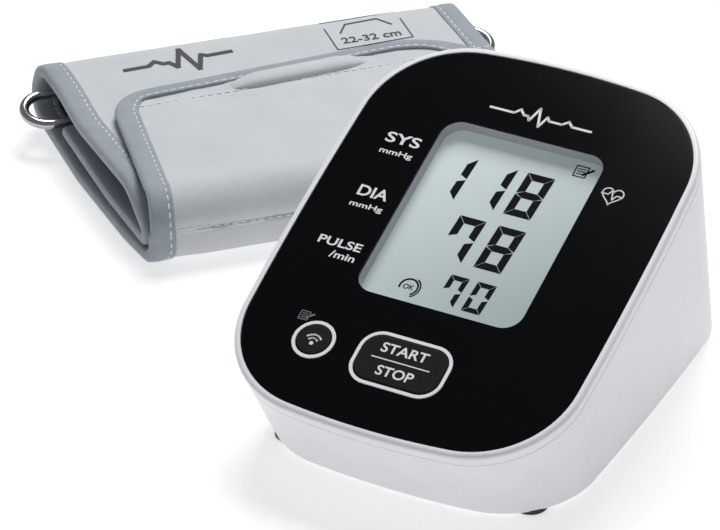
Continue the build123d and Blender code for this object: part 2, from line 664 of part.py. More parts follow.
# section plane: local x runs along the cuff's left end, local y is up
section = Plane(origin=cuff_corner, x_dir=end_line, z_dir=end_line.cross(Vector(0, 0, 1)))
# plan plane: local x along the folds, local y deep, local z up
plan = Plane(origin=cuff_corner, x_dir=along, z_dir=(0, 0, 1))

half_strip = STRIP / 2
core = half_strip - SKIN
low_line = half_strip + TAPE_SKIN     # middle of the bottom layer, so that its binding rests on the table

# middle line of the fabric sandwich, from the near face round to the end that holds the ring
NEAR_FACE = [(-1.4, CREASE_START - 0.1), (-1.4, low_line), (45.0, low_line)]
NEAR_RADII = 6.0
SPIRAL = [(45.0, low_line), (58.0, low_line), (100.8, 7.8), (97.3, 22.0), (58.0, 18.9),
          (18.0, 19.4), (-1.4, 6.6), (34.0, 6.6), (73.0, 10.4)]
SPIRAL_RADII = [60.0, 6.5, 5.2, 60.0, 20.0, 2.45, 60.0]


def band(points, radii, inner, outer):
    """Face between two parallels of a filleted line; distances are positive to the line's right."""
    line = FilletPolyline(*points, radius=radii)
    rails = []
    for distance in (inner, outer):
        rails.append(parallel(line, distance))
    first, second = rails
    caps = [Line(first @ 0, second @ 0), Line(first @ 1, second @ 1)]
    return make_face(Wire(list(first.edges()) + list(second.edges()) + caps))


def parallel(line, distance):
    """The same straight runs and arcs, moved sideways by a distance, positive to the right."""
    moved = []
    for edge in line.edges():
        start, middle, end = (shifted(edge, place, distance) for place in (0, 0.5, 1))
        if edge.geom_type == GeomType.LINE:
            moved.append(Line(start, end))
        else:
            moved.append(ThreePointArc(start, middle, end))
    return Wire(moved)


def shifted(edge, place, distance):
    heading = edge % place
    return (edge @ place) + Vector(heading.Y, -heading.X) * distance


def lay(face, start, end):
    """Extrude a section face along the folds, from start to end, measured from the cuff's left end."""
    moved = Pos(*(along * start)) * (section * face)
    return extrude(moved, amount=end - start, dir=along)


def sandwich(inner, outer, start=0.0, end=CUFF_WIDTH):
    """A layer of the folded strip, all the way round."""
    near = lay(band(NEAR_FACE, NEAR_RADII, inner, outer), start, end)
    rest = lay(band(SPIRAL, SPIRAL_RADII, inner, outer), start, end)
    return near + rest


def gland_notch():
    """Space that the hose gland takes at the right edge of the innermost layer."""
    place, breadth, length = GLAND
    low = 4.3
    slab = lay(make_face(Polyline((place - breadth / 2, low), (place + breadth / 2, low),
                                  (place + breadth / 2, low + 6.4), (place - breadth / 2, low + 6.4),
                                  close=True)), CUFF_WIDTH - length, CUFF_WIDTH + 5)
    return slab


def make_cuff_cover():
    return sandwich(core, half_strip) - gland_notch()


def make_cuff_lining():
    return sandwich(-half_strip, -core) - gland_notch()


def make_air_bladder():
    return lay(band(SPIRAL, SPIRAL_RADII, -core, core), BLADDER_MARGIN, CUFF_WIDTH - GLAND[2] - 0.2)


def make_cuff_binding():
    outer = half_strip + TAPE_SKIN
    left = sandwich(-outer, outer, -TAPE_SKIN, TAPE_WIDTH)
    right = sandwich(-outer, outer, CUFF_WIDTH - TAPE_WIDTH, CUFF_WIDTH + TAPE_SKIN)
    tapes = []
    for tape in (left, right):
        tape -= sandwich(-half_strip, half_strip)
        tapes.append(tape - gland_notch())
    return Compound(children=[solid for tape in tapes for solid in tape.solids()])


def make_hose_gland():
    place, breadth, length = GLAND
    shape = Pos(place, GLAND_HEIGHT) * RectangleRounded(breadth - 0.4, STRIP + 0.8, 1.6)
    body = lay(shape, CUFF_WIDTH - length + 0.1, CUFF_WIDTH + GLAND_STANDS_OUT + 2)
    # its end is square to the nipple
    root = gland_root()
    end_face = Plane(origin=root, z_dir=along)
    body = split(body, bisect_by=end_face, keep=Keep.BOTTOM)
    body += end_face * Cone(NIPPLE_FOOT_RADIUS, NIPPLE_RADIUS, NIPPLE_FOOT, align=STANDING)
    tip = root + along * (NIPPLE_LENGTH - NIPPLE_TIP)
    body += rod(root - along, tip, NIPPLE_RADIUS)
    tip_face = Plane(origin=tip, z_dir=along)
    body += tip_face * Cone(NIPPLE_RADIUS, NIPPLE_TIP_RADIUS, NIPPLE_TIP, align=STANDING)
    body -= rod(root - along * 8, root + along * (NIPPLE_LENGTH + 1), NIPPLE_BORE)
    return body


def gland_root():
    """Where the nipple stands on the gland."""
    on_end = section.from_local_coords(Vector(GLAND[0], GLAND_HEIGHT, 0))
    return on_end + along * (CUFF_WIDTH + GLAND_STANDS_OUT)


# ---------------------------------------------------------------- cuff: flap
flap_mid = FLAP_LOW + HOOK_SKIN + (FLAP_LINING + FLAP_SKIN) / 2
crease_line = -1.4 - half_strip + CREASE_SKIN / 2


def make_flap_crease():
    points = [(crease_line, CREASE_START), (crease_line, flap_mid), (FLAP_START - 0.1, flap_mid)]
    face = band(points, CREASE_RADIUS - 0.1, -CREASE_SKIN / 2, CREASE_SKIN / 2)
    return lay(face, 0, CUFF_WIDTH)


FLAP_CORNERS = [(1.2, FLAP_START), (5.9, 66.0), (125.5, 75.5), (139.8, FLAP_START)]
FLAP_ROUNDS = (15.0, 30.0)


def flap_face(inset):
    """Plan of the flap, moved in by inset along its free edges."""
    (left, start), far_left, far_right, (right, _) = FLAP_CORNERS
    near = start - inset
    outline = make_face(Polyline((left, near), far_left, far_right, (right, near), close=True))
    for place, radius in zip((far_left, far_right), FLAP_ROUNDS):
        outline = fillet(outline.vertices().sort_by_distance(place)[0], radius)
    return offset(outline, amount=-inset) if inset else outline


def flap_slab(inset, low, high):
    return plan * extrude(Pos(0, 0, low) * flap_face(inset), high - low)


flap_lining_low = FLAP_LOW + HOOK_SKIN
flap_cover_low = flap_lining_low + FLAP_LINING
flap_top = flap_cover_low + FLAP_SKIN


def make_flap_cover():
    return flap_slab(0.5, flap_cover_low, flap_top)


def make_flap_lining():
    return flap_slab(0.5, flap_lining_low, flap_cover_low)


def make_hook_tape():
    return flap_slab(TAPE_WIDTH + 1.5, FLAP_LOW, flap_lining_low)


def make_flap_binding():
    ring = flap_slab(0, flap_lining_low - 0.4, flap_top + 0.4)
    ring -= flap_slab(0.5, flap_lining_low, flap_top)
    # the tape is narrower along the flap's end than along its sides
    inner = flap_face(TAPE_WIDTH)
    inner += Pos(0, TAPE_WIDTH - END_TAPE_WIDTH) * inner
    return ring - plan * extrude(Pos(0, 0, FLAP_LOW - 1) * inner, 5)


RIDGE_ENDS = [(47.5, 60.9), (88.0, 64.1)]
RIDGE_RADIUS = 3.4


def make_grip_ridge():
    """Padded ridge that the fingers hold to pull the flap open."""
    start, end = (Vector(*point) for point in RIDGE_ENDS)
    shape = Pos((start + end) / 2) * Rot(0, 0, math.degrees(math.atan2(end.Y - start.Y, end.X - start.X)))
    shape = shape * SlotCenterToCenter((end - start).length, 2 * RIDGE_RADIUS)
    body = extrude(Pos(0, 0, flap_top) * shape, RIDGE_HEIGHT)
    body = fillet(body.faces().sort_by(Axis.Z)[-1].edges(), RIDGE_HEIGHT * 0.9)
    return plan * body


# ---------------------------------------------------------------- cuff: ring and its sleeve
ring_lean = math.radians(RING_TILT)
ring_middle = (CUFF_WIDTH / 2) - RING_CENTRE[0] * math.sin(skew)


def ring_plane():
    """Local x along the folds, local y across the ring."""
    centre = cuff_corner + deep * RING_CENTRE[0] + along * ring_middle + Vector(0, 0, RING_CENTRE[1])
    across = deep * math.cos(ring_lean) + Vector(0, 0, math.sin(ring_lean))
    return Plane(origin=centre, x_dir=along, z_dir=along.cross(across))


def make_cuff_ring():
    """Closed loop of round wire as long as the cuff is wide."""
    half = RING_LENGTH / 2 - RING_WIRE / 2 - RING_BEND
    circle = Circle(RING_WIRE / 2)
    solids = None
    for side in (-1, 1):
        bar = extrude(Plane(origin=(-half, side * RING_BEND, 0), z_dir=(1, 0, 0)) * circle, 2 * half)
        solids = bar if solids is None else solids + bar
        end = Plane(origin=(side * half, 0, 0), x_dir=(0, 1, 0), z_dir=(1, 0, 0))
        profile = Plane(origin=(side * half, -RING_BEND, 0), z_dir=(1, 0, 0)) * circle
        bend = revolve(profile, axis=Axis((side * half, 0, 0), (0, 0, 1)), revolution_arc=side * 180)
        solids += bend
    return ring_plane() * solids


SLEEVE_MARGIN = 4.0


def bar_centre():
    """Where the ring's near bar crosses the section, as depth along the end line and height."""
    depth = (RING_CENTRE[0] - RING_BEND * math.cos(ring_lean)) / math.cos(skew)
    return depth, RING_CENTRE[1] - RING_BEND * math.sin(ring_lean)


def make_ring_sleeve():
    """Fabric loop round the near bar, sewn to the end of the innermost layer."""
    depth, height = bar_centre()
    inner = RING_WIRE / 2 + SLEEVE_GAP
    outer = inner + SLEEVE_SKIN
    tail = make_face(Polyline((SPIRAL[-1][0] + 0.1, SPIRAL[-1][1] - half_strip), (depth, height - outer),
                              (depth, height + outer), (SPIRAL[-1][0] - 0.2, SPIRAL[-1][1] + half_strip),
                              close=True))
    face = tail + Pos(depth, height) * Circle(outer)
    body = lay(face, SLEEVE_MARGIN, CUFF_WIDTH - SLEEVE_MARGIN)
    centre = cuff_corner + deep * (depth * math.cos(skew)) + Vector(0, 0, height)
    body -= rod(centre - along * 50, centre + along * 250, inner)
    return body - sandwich(-half_strip - 0.01, half_strip + 0.01, -20, CUFF_WIDTH + 20)


# ---------------------------------------------------------------- all nodes
MAKERS = {
    "top_cover": make_top_cover,
    "base_housing": make_base_housing,
    "front_panel": make_front_panel,
    "display_window": make_display_window,
    "display_frame": make_display_frame,
    "display_glass": make_display_glass,
    "display_holder": make_display_holder,
    "contact_strip": make_contact_strip,
    "start_stop_button": make_start_button,
    "link_button": make_link_button,
    "key_pad": make_key_pad,
    "main_board": make_main_board,
    "board_chips": make_board_chips,
    "pressure_sensor": make_pressure_sensor,
    "antenna_module": make_antenna_module,
    "pump_motor_case": make_pump_motor,
    "pump_magnets": make_pump_magnets,
    "pump_rotor": make_pump_rotor,
    "pump_head": make_pump_head,
    "pump_diaphragm": make_pump_diaphragm,
    "valve_body": make_valve_body,
    "valve_plunger": make_valve_plunger,
    "air_manifold": make_air_manifold,
    "air_socket": make_air_socket,
    "air_tubes": make_air_tubes,
    "power_socket": make_power_socket,
    "battery_tray": make_battery_tray,
    "battery_springs": make_battery_springs,
    "battery_contacts": make_battery_contacts,
    "battery_cover": make_battery_cover,
    "rubber_feet": make_rubber_feet,
    "housing_screws": make_housing_screws,
    "cuff_cover": make_cuff_cover,
    "cuff_lining": make_cuff_lining,
    "air_bladder": make_air_bladder,
    "cuff_binding": make_cuff_binding,
    "hose_gland": make_hose_gland,
    "flap_crease": make_flap_crease,
    "flap_cover": make_flap_cover,
    "flap_lining": make_flap_lining,
    "hook_tape": make_hook_tape,
    "flap_binding": make_flap_binding,
    "grip_ridge": make_grip_ridge,
    "cuff_ring": make_cuff_ring,
    "ring_sleeve": make_ring_sleeve,
}


def make_nodes():
    nodes = {name: maker() for name, maker in MAKERS.items()}
    for index in range(CELL_COUNT):
        nodes[f"battery_cell_{index + 1}"] = make_cell(index)
    return nodes


def main():
    nodes = make_nodes()
    whole = Compound(children=[Compound(children=solid_list(shape)) for shape in nodes.values()])
    box = whole.bounding_box()
    middle = box.center()
    print("set spans", box.min, box.max)
    print("origin moves to", round(middle.X, 3), round(middle.Y, 3))
    os.makedirs("parts", exist_ok=True)
    for name, shape in nodes.items():
        solids = [Pos(-middle.X, -middle.Y, 0) * solid for solid in solid_list(shape)]
        export_step(solids[0] if len(solids) == 1 else Compound(children=solids), f"parts/{name}.step")


main()
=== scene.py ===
import json
import math
import random

import bmesh
import bpy
from mathutils import Matrix, Vector, noise


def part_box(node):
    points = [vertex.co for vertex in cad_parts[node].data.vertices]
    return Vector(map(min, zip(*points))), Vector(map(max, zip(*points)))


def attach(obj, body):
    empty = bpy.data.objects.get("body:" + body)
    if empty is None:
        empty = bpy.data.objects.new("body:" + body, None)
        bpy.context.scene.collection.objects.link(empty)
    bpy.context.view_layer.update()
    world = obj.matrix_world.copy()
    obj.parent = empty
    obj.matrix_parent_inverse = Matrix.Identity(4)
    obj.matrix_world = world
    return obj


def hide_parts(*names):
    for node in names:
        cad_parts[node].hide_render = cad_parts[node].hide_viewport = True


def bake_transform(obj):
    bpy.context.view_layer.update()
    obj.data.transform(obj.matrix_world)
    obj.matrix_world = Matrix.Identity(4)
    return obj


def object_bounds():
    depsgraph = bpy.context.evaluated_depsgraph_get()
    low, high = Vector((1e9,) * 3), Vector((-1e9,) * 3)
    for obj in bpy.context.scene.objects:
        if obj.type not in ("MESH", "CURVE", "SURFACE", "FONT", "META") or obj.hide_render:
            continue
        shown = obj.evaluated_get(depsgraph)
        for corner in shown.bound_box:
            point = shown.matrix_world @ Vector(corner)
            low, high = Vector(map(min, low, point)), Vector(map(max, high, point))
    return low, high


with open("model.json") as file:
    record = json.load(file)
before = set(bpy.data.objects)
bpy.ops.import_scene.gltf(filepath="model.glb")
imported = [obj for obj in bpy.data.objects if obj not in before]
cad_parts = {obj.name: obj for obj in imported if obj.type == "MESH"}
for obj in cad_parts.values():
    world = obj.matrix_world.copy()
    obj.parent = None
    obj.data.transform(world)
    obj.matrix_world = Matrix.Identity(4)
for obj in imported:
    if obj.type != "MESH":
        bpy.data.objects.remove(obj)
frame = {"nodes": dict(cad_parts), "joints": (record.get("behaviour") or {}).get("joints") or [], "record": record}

# Looks of an upper-arm blood pressure monitor with its folded cuff, in metres.
# +Z is up and -Y is the monitor's front.

MM = 0.001
cad_low, cad_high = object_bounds()
nodes = frame["nodes"]
joints = {joint["name"]: joint for joint in frame["joints"]}

# -------- places taken from the frame
# panel axes: u to the right, v up the slope, n out of the panel
panel_n = -Vector(joints["start_stop_press"]["axis"]).normalized()
panel_u = Vector((1, 0, 0))
panel_v = panel_n.cross(panel_u)
PANEL_THICKNESS = 0.8 * MM


def box_centre(node):
    low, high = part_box(node)
    return (low + high) / 2


panel_centre = box_centre("front_panel") + panel_n * (PANEL_THICKNESS / 2)


def on_panel(u, v, w=0.0):
    """Point at u, v millimetres on the panel and w above its surface."""
    return panel_centre + (panel_u * u + panel_v * v + panel_n * w) * MM


def panel_height(node):
    """Highest point of a node along the panel's normal, in millimetres above the panel's surface."""
    heights = [(v.co - panel_centre).dot(panel_n) for v in nodes[node].data.vertices]
    return max(heights) / MM


# -------- camera, light and floor
VIEW_AZIMUTH = 28.63
VIEW_ELEVATION = 30.50
VIEW_DISTANCE = 1.170
VIEW_LENS = 207.9
AIM = Vector((-25.30, -16.95, -4.84)) * MM       # from the panel's centre
KEY_AZIMUTH = -165                               # the light stands behind and to the left, high up
KEY_ELEVATION = 62
KEY_DISTANCE = 1.7
KEY_SIZE = (0.85, 0.85)
KEY_POWER = 28.0
WORLD_STRENGTH = 0.25
FLOOR_SIZE = 12.0
FLOOR_DROP = 0.02 * MM                           # keeps the floor just clear of the feet
FLOOR_GLOW = 0.63                                # lifts the floor to the white of its surroundings


def aim_at(thing, place, target):
    thing.location = place
    thing.rotation_mode = "QUATERNION"
    thing.rotation_quaternion = (target - place).to_track_quat("-Z", "Y")


def direction(azimuth, elevation):
    a = math.radians(azimuth)
    e = math.radians(elevation)
    return Vector((math.sin(a) * math.cos(e), -math.cos(a) * math.cos(e), math.sin(e)))


def add_camera():
    data = bpy.data.cameras.new("camera")
    data.lens = VIEW_LENS
    data.sensor_width = 36.0
    data.clip_start = 0.05
    data.clip_end = 20.0
    camera = bpy.data.objects.new("camera", data)
    bpy.context.scene.collection.objects.link(camera)
    target = panel_centre + AIM
    aim_at(camera, target + direction(VIEW_AZIMUTH, VIEW_ELEVATION) * VIEW_DISTANCE, target)
    bpy.context.scene.camera = camera


def add_area_light(name, azimuth, elevation, distance, size, power):
    data = bpy.data.lights.new(name, "AREA")
    data.shape = "RECTANGLE"
    data.size = size[0]
    data.size_y = size[1]
    data.energy = power
    light = bpy.data.objects.new(name, data)
    bpy.context.scene.collection.objects.link(light)
    middle = (cad_low + cad_high) / 2
    aim_at(light, middle + direction(azimuth, elevation) * distance, middle)


def add_studio():
    world = bpy.data.worlds.new("studio")
    world.use_nodes = True
    background = world.node_tree.nodes["Background"]
    background.inputs["Color"].default_value = (0.93, 0.96, 1.0, 1.0)
    background.inputs["Strength"].default_value = WORLD_STRENGTH
    bpy.context.scene.world = world
    bpy.context.scene.view_settings.view_transform = "Standard"
    add_area_light("key", KEY_AZIMUTH, KEY_ELEVATION, KEY_DISTANCE, KEY_SIZE, KEY_POWER)


def add_floor():
    bpy.ops.mesh.primitive_plane_add(size=FLOOR_SIZE, location=(0, 0, -FLOOR_DROP))
    floor = bpy.context.object
    floor.name = "floor"
    glow = {"Emission_Color": (1.0, 1.0, 1.0, 1.0), "Emission_Strength": FLOOR_GLOW}
    floor.data.materials.append(plain("floor_white", (0.46, 0.46, 0.46), 0.9, **glow))


# -------- materials
def shade(red, green, blue):
    """Linear colour from the eye's 0 to 255 values."""
    linear = []
    for value in (red, green, blue):
        part = value / 255
        linear.append(part / 12.92 if part <= 0.04045 else ((part + 0.055) / 1.055) ** 2.4)
    return tuple(linear)


class Shader:
    """A material under construction: its nodes, its principled shader and its texture space."""

    def __init__(self, name, colour, roughness, space="Object", **sockets):
        self.material = bpy.data.materials.new(name)
        self.material.use_nodes = True
        self.tree = self.material.node_tree
        self.surface = self.tree.nodes["Principled BSDF"]
        self.surface.inputs["Base Color"].default_value = (*colour, 1.0)
        self.surface.inputs["Roughness"].default_value = roughness
        for socket, value in sockets.items():
            self.surface.inputs[socket.replace("_", " ")].default_value = value
        self.space = space

    def node(self, kind, **values):
        made = self.tree.nodes.new(kind)
        for key, value in values.items():
            setattr(made, key, value)
        return made

    def link(self, output, target):
        self.tree.links.new(output, target)

    def coordinates(self, scale=(1.0, 1.0, 1.0), turn=(0.0, 0.0, 0.0)):
        source = self.node("ShaderNodeTexCoord")
        mapping = self.node("ShaderNodeMapping")
        mapping.inputs["Scale"].default_value = scale
        mapping.inputs["Rotation"].default_value = turn
        self.link(source.outputs[self.space], mapping.inputs["Vector"])
        return mapping.outputs["Vector"]

    def noise(self, size, detail=3.0, stretch=(1.0, 1.0, 1.0), roughness=0.5):
        """Noise whose features are about that size in metres."""
        texture = self.node("ShaderNodeTexNoise")
        texture.inputs["Scale"].default_value = 1.0 / size
        texture.inputs["Detail"].default_value = detail
        texture.inputs["Roughness"].default_value = roughness
        self.link(self.coordinates(stretch), texture.inputs["Vector"])
        return texture.outputs["Fac"]

    def bands(self, size, axis, turn=0.0, distortion=0.0):
        """Even waves of that spacing in metres across an axis."""
        texture = self.node("ShaderNodeTexWave", bands_direction=axis)
        texture.inputs["Scale"].default_value = math.pi / (10.0 * size)
        texture.inputs["Distortion"].default_value = distortion
        self.link(self.coordinates(turn=(0, 0, turn)), texture.inputs["Vector"])
        return texture.outputs["Fac"]

    def maths(self, operation, first, second=None):
        made = self.node("ShaderNodeMath", operation=operation)
        for socket, value in zip(made.inputs, (first, second)):
            if value is None:
                continue
            if isinstance(value, (int, float)):
                socket.default_value = value
            else:
                self.link(value, socket)
        return made.outputs[0]

    def ramp(self, factor, low, high, start=0.0, end=1.0):
        """Colour that goes from low to high as the factor goes from start to end."""
        made = self.node("ShaderNodeValToRGB")
        made.color_ramp.elements[0].position = start
        made.color_ramp.elements[0].color = (*low, 1.0)
        made.color_ramp.elements[1].position = end
        made.color_ramp.elements[1].color = (*high, 1.0)
        self.link(factor, made.inputs["Fac"])
        return made.outputs["Color"]

    def spread(self, factor, low, high):
        made = self.node("ShaderNodeMapRange")
        made.inputs["To Min"].default_value = low
        made.inputs["To Max"].default_value = high
        self.link(factor, made.inputs["Value"])
        return made.outputs["Result"]

    def bump(self, height, depth):
        """Bump of that depth in metres."""
        made = self.node("ShaderNodeBump")
        made.inputs["Distance"].default_value = depth
        self.link(height, made.inputs["Height"])
        self.link(made.outputs["Normal"], self.surface.inputs["Normal"])
        return made

    def colour(self, output):
        self.link(output, self.surface.inputs["Base Color"])

    def rough(self, output):
        self.link(output, self.surface.inputs["Roughness"])


def tinted(colour, factor):
    return tuple(min(1.0, part * factor) for part in colour)


def plain(name, colour, roughness, **sockets):
    """Surface with only a slight unevenness, for the floor and for small parts."""
    made = Shader(name, colour, roughness, **sockets)
    grain = made.noise(0.004)
    made.colour(made.ramp(grain, tinted(colour, 0.97), tinted(colour, 1.03), 0.3, 0.7))
    return made.material


def moulded(name, colour, roughness, grain=0.00025, depth=0.000008, **sockets):
    """Injection moulded plastic: fine spark-eroded grain and slight mottling of its gloss."""
    made = Shader(name, colour, roughness, **sockets)
    mottle = made.noise(0.012, 2.0)
    made.colour(made.ramp(mottle, tinted(colour, 0.985), tinted(colour, 1.015), 0.35, 0.65))
    made.rough(made.spread(mottle, roughness * 0.9, roughness * 1.1))
    made.bump(made.noise(grain, 2.0), depth)
    return made.material


def rubbery(name, colour, roughness=0.7):
    made = Shader(name, colour, roughness)
    dust = made.noise(0.002, 4.0)
    made.colour(made.ramp(dust, tinted(colour, 0.9), tinted(colour, 1.12), 0.35, 0.65))
    made.bump(made.noise(0.0004, 2.0), 0.00002)
    return made.material


def metal(name, colour, roughness, brushed=0.0):
    made = Shader(name, colour, roughness, Metallic=1.0)
    smear = made.noise(0.003, 3.0, (1.0, 1.0, 6.0))
    made.rough(made.spread(smear, roughness * 0.7, roughness * 1.3 + brushed))
    made.bump(made.noise(0.0006, 2.0, (1.0, 1.0, 8.0)), 0.000004)
    return made.material


def button_finish():
    """Matt charcoal with a fine speckled texture."""
    colour = shade(23, 22, 23)
    made = Shader("button_charcoal", colour, 0.65, Specular_IOR_Level=0.1)
    speck = made.noise(0.00045, 2.0)
    made.colour(made.ramp(speck, tinted(colour, 0.8), tinted(colour, 1.45), 0.35, 0.72))
    made.bump(speck, 0.00003)
    return made.material


def panel_finish():
    """Glossy black printed sheet."""
    colour = shade(6, 6, 8)
    made = Shader("black_gloss", colour, 0.12, Specular_IOR_Level=0.1)
    smear = made.noise(0.03, 3.0)
    made.rough(made.spread(smear, 0.10, 0.17))
    return made.material


def display_finish():
    """Liquid crystal cell: pale green-grey, with painted shading that makes it lighter towards its far left corner
    and darker towards its near right one, and a faint painted glow.
    """
    low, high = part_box("display_glass")
    # painted light: the cell glows faintly though it is no lamp, which lifts the shade cast into its recess by the
    # walls round it
    glow = {"Emission_Color": (0.82, 0.92, 0.92, 1.0), "Emission_Strength": 0.15}
    made = Shader("crystal_cell", shade(188, 202, 204), 0.35, **glow)
    source = made.node("ShaderNodeTexCoord")
    split = made.node("ShaderNodeSeparateXYZ")
    made.link(source.outputs["Object"], split.inputs["Vector"])
    across = made.maths("DIVIDE", made.maths("SUBTRACT", split.outputs["X"], low.x), high.x - low.x)
    upward = made.maths("DIVIDE", made.maths("SUBTRACT", split.outputs["Y"], low.y), high.y - low.y)
    slope = made.maths("MULTIPLY", made.maths("ADD", made.maths("SUBTRACT", across, upward), 1.0), 0.5)
    # painted shade: the colour darkens from the far left corner towards the near right one
    made.colour(made.ramp(slope, shade(214, 226, 226), shade(136, 154, 156), 0.12, 0.95))
    made.bump(made.noise(0.0003, 1.0), 0.000003)
    return made.material


def window_finish():
    made = Shader("clear_acrylic", shade(30, 34, 36), 0.04, Alpha=0.04)
    made.rough(made.spread(made.noise(0.02, 2.0), 0.03, 0.06))
    return made.material


def circuit_finish():
    """Green solder mask with lighter copper tracks under it."""
    made = Shader("solder_mask", shade(20, 92, 55), 0.35)
    tracks = made.node("ShaderNodeTexBrick")
    tracks.inputs["Scale"].default_value = 300.0
    tracks.inputs["Mortar Size"].default_value = 0.09
    tracks.inputs["Color1"].default_value = (*shade(14, 80, 46), 1.0)
    tracks.inputs["Color2"].default_value = (*shade(20, 92, 55), 1.0)
    tracks.inputs["Mortar"].default_value = (*shade(44, 122, 78), 1.0)
    made.link(made.coordinates(), tracks.inputs["Vector"])
    made.colour(tracks.outputs["Color"])
    made.bump(tracks.outputs["Fac"], 0.00003)
    return made.material


WEAVE_UNEVENNESS = 0.35


def weave(made, thread):
    """Plain weave in the cloth's own coordinates: threads of that spacing in metres."""
    warp = made.bands(thread, "X")
    weft = made.bands(thread, "Y")
    cross = made.maths("MULTIPLY", warp, weft)
    uneven = made.maths("MULTIPLY", made.noise(0.0012, 3.0), WEAVE_UNEVENNESS)
    return made.maths("ADD", cross, uneven)


def fabric(name, colour, thread=0.00042, depth=0.00005, contrast=0.1, roughness=0.8, sheen=0.25):
    """Woven cloth whose threads follow the cloth's own flat coordinates."""
    made = Shader(name, colour, roughness, space="UV", Sheen_Weight=sheen, Sheen_Roughness=0.4)
    threads = weave(made, thread)
    patches = made.maths("MULTIPLY", made.noise(0.02, 3.0), 0.5)
    tone = made.maths("ADD", made.maths("MULTIPLY", threads, 0.5), patches)
    made.colour(made.ramp(tone, tinted(colour, 1 - contrast), tinted(colour, 1 + contrast), 0.2, 0.8))
    made.bump(threads, depth)
    return made.material


def ribbed_tape(name, colour):
    """Edge tape: fine ribs along its length and a faint cross weave."""
    made = Shader(name, colour, 0.75, space="UV", Sheen_Weight=0.3, Sheen_Roughness=0.4)
    ribs = made.bands(0.0007, "Y")
    picks = made.bands(0.0004, "X")
    relief = made.maths("ADD", made.maths("MULTIPLY", ribs, 0.6), made.maths("MULTIPLY", picks, 0.4))
    patches = made.noise(0.006, 3.0)
    tone = made.maths("ADD", made.maths("MULTIPLY", relief, 0.35), made.maths("MULTIPLY", patches, 0.65))
    made.colour(made.ramp(tone, tinted(colour, 0.88), tinted(colour, 1.12), 0.25, 0.75))
    made.bump(relief, 0.00005)
    return made.material


def object_cloth(name, colour, thread=0.0005, depth=0.00006):
    """Cloth for a carried-over solid, woven in the object's own axes."""
    made = Shader(name, colour, 0.85, Sheen_Weight=0.2)
    relief = weave(made, thread)
    made.colour(made.ramp(relief, tinted(colour, 0.85), tinted(colour, 1.15), 0.1, 0.9))
    made.bump(relief, depth)
    return made.material


NODE_FINISHES = {
    "white_housing": lambda: moulded("satin_white", shade(238, 238, 241), 0.34, Specular_IOR_Level=0.4),
    "black_panel": panel_finish,
    "clear_window": window_finish,
    "grey_plastic": lambda: moulded("display_wall_grey", shade(192, 194, 198), 0.5),
    "display_glass": display_finish,
    "white_inner_plastic": lambda: moulded("natural_plastic", shade(228, 227, 222), 0.5),
    "pink_rubber": lambda: rubbery("contact_pink", shade(205, 150, 152)),
    "button_plastic": button_finish,
    "key_rubber": lambda: rubbery("key_grey", shade(150, 152, 156)),
    "circuit_board": circuit_finish,
    "chip_black": lambda: moulded("chip_compound", shade(34, 34, 36), 0.6),
    "steel": lambda: metal("plated_steel", shade(200, 200, 204), 0.28, 0.1),
    "magnet": lambda: moulded("ferrite", shade(66, 64, 66), 0.65, 0.0005, 0.00003),
    "socket_plastic": lambda: moulded("socket_grey", shade(86, 88, 92), 0.5),
    "silicone": lambda: rubbery("milky_silicone", shade(226, 228, 226), 0.4),
    "cell_sleeve": lambda: moulded("cell_sleeve_print", shade(44, 112, 92), 0.3),
    "foot_rubber": lambda: rubbery("foot_black", shade(52, 52, 54)),
    "cuff_fabric": lambda: object_cloth("cloth_grey", shade(196, 200, 203)),
    "lining_fabric": lambda: object_cloth("lining_cloth", shade(70, 75, 79)),
    "bladder": lambda: rubbery("bladder_rubber", shade(92, 92, 96)),
    "binding_tape": lambda: object_cloth("tape_cloth", shade(160, 168, 174)),
    "hook_tape": lambda: object_cloth("hook_cloth", shade(60, 62, 66), 0.0014, 0.0004),
    "chrome": lambda: metal("polished_chrome", shade(176, 177, 180), 0.12),
}


def paint_nodes():
    """Give every carried-over node the material of its slot in the record."""
    made = {slot: finish() for slot, finish in NODE_FINISHES.items()}
    slot_of = {part["node"]: part["material_slot"] for part in frame["record"]["subparts"]}
    for name, thing in nodes.items():
        thing.data.materials.clear()
        thing.data.materials.append(made[slot_of[name]])


# -------- meshes
def new_piece(name, mesh, material, smooth=True):
    piece = bpy.data.objects.new(name, mesh)
    bpy.context.scene.collection.objects.link(piece)
    mesh.materials.append(material)
    for face in mesh.polygons:
        face.use_smooth = smooth
    return piece


def finish_mesh(work, name):
    bmesh.ops.recalc_face_normals(work, faces=work.faces)
    mesh = bpy.data.meshes.new(name)
    work.to_mesh(mesh)
    work.free()
    return mesh


def add_prisms(work, outlines, place, depth):
    """Add thin closed slabs: each outline's points (x, y) go to place(x, y, 0) and place(x, y, depth)."""
    for outline in outlines:
        low = [work.verts.new(place(x, y, 0)) for x, y in outline]
        high = [work.verts.new(place(x, y, depth)) for x, y in outline]
        work.faces.new(high)
        work.faces.new(list(reversed(low)))
        for k in range(len(outline)):
            n = (k + 1) % len(outline)
            work.faces.new([low[k], low[n], high[n], high[k]])


def add_tube(work, rings, uv_place=None):
    """Join equal rings of vertices into a closed tube; uv_place(ring, corner) gives flat coordinates."""
    layer = work.loops.layers.uv.new("flat") if uv_place else None
    count = len(rings[0])
    for k in range(len(rings) - 1):
        for i in range(count):
            j = (i + 1) % count
            made = work.faces.new([rings[k][i], rings[k][j], rings[k + 1][j], rings[k + 1][i]])
            corners = ((k, i), (k, i + 1), (k + 1, i + 1), (k + 1, i))
            for loop, corner in zip(made.loops, corners if uv_place else ()):
                loop[layer].uv = uv_place(*corner)
    work.faces.new(rings[0])
    work.faces.new(list(reversed(rings[-1])))


# -------- print and display figures
PRINT_LIFT = 0.02            # print above its surface, millimetres
PRINT_DEPTH = 0.02
FIGURE_SLANT = 0.06          # the display figures lean this much to the right
SEGMENT_GAP = 0.09
SEGMENTS = {"0": "abcdef", "1": "bc", "7": "abcf", "8": "abcdefg"}


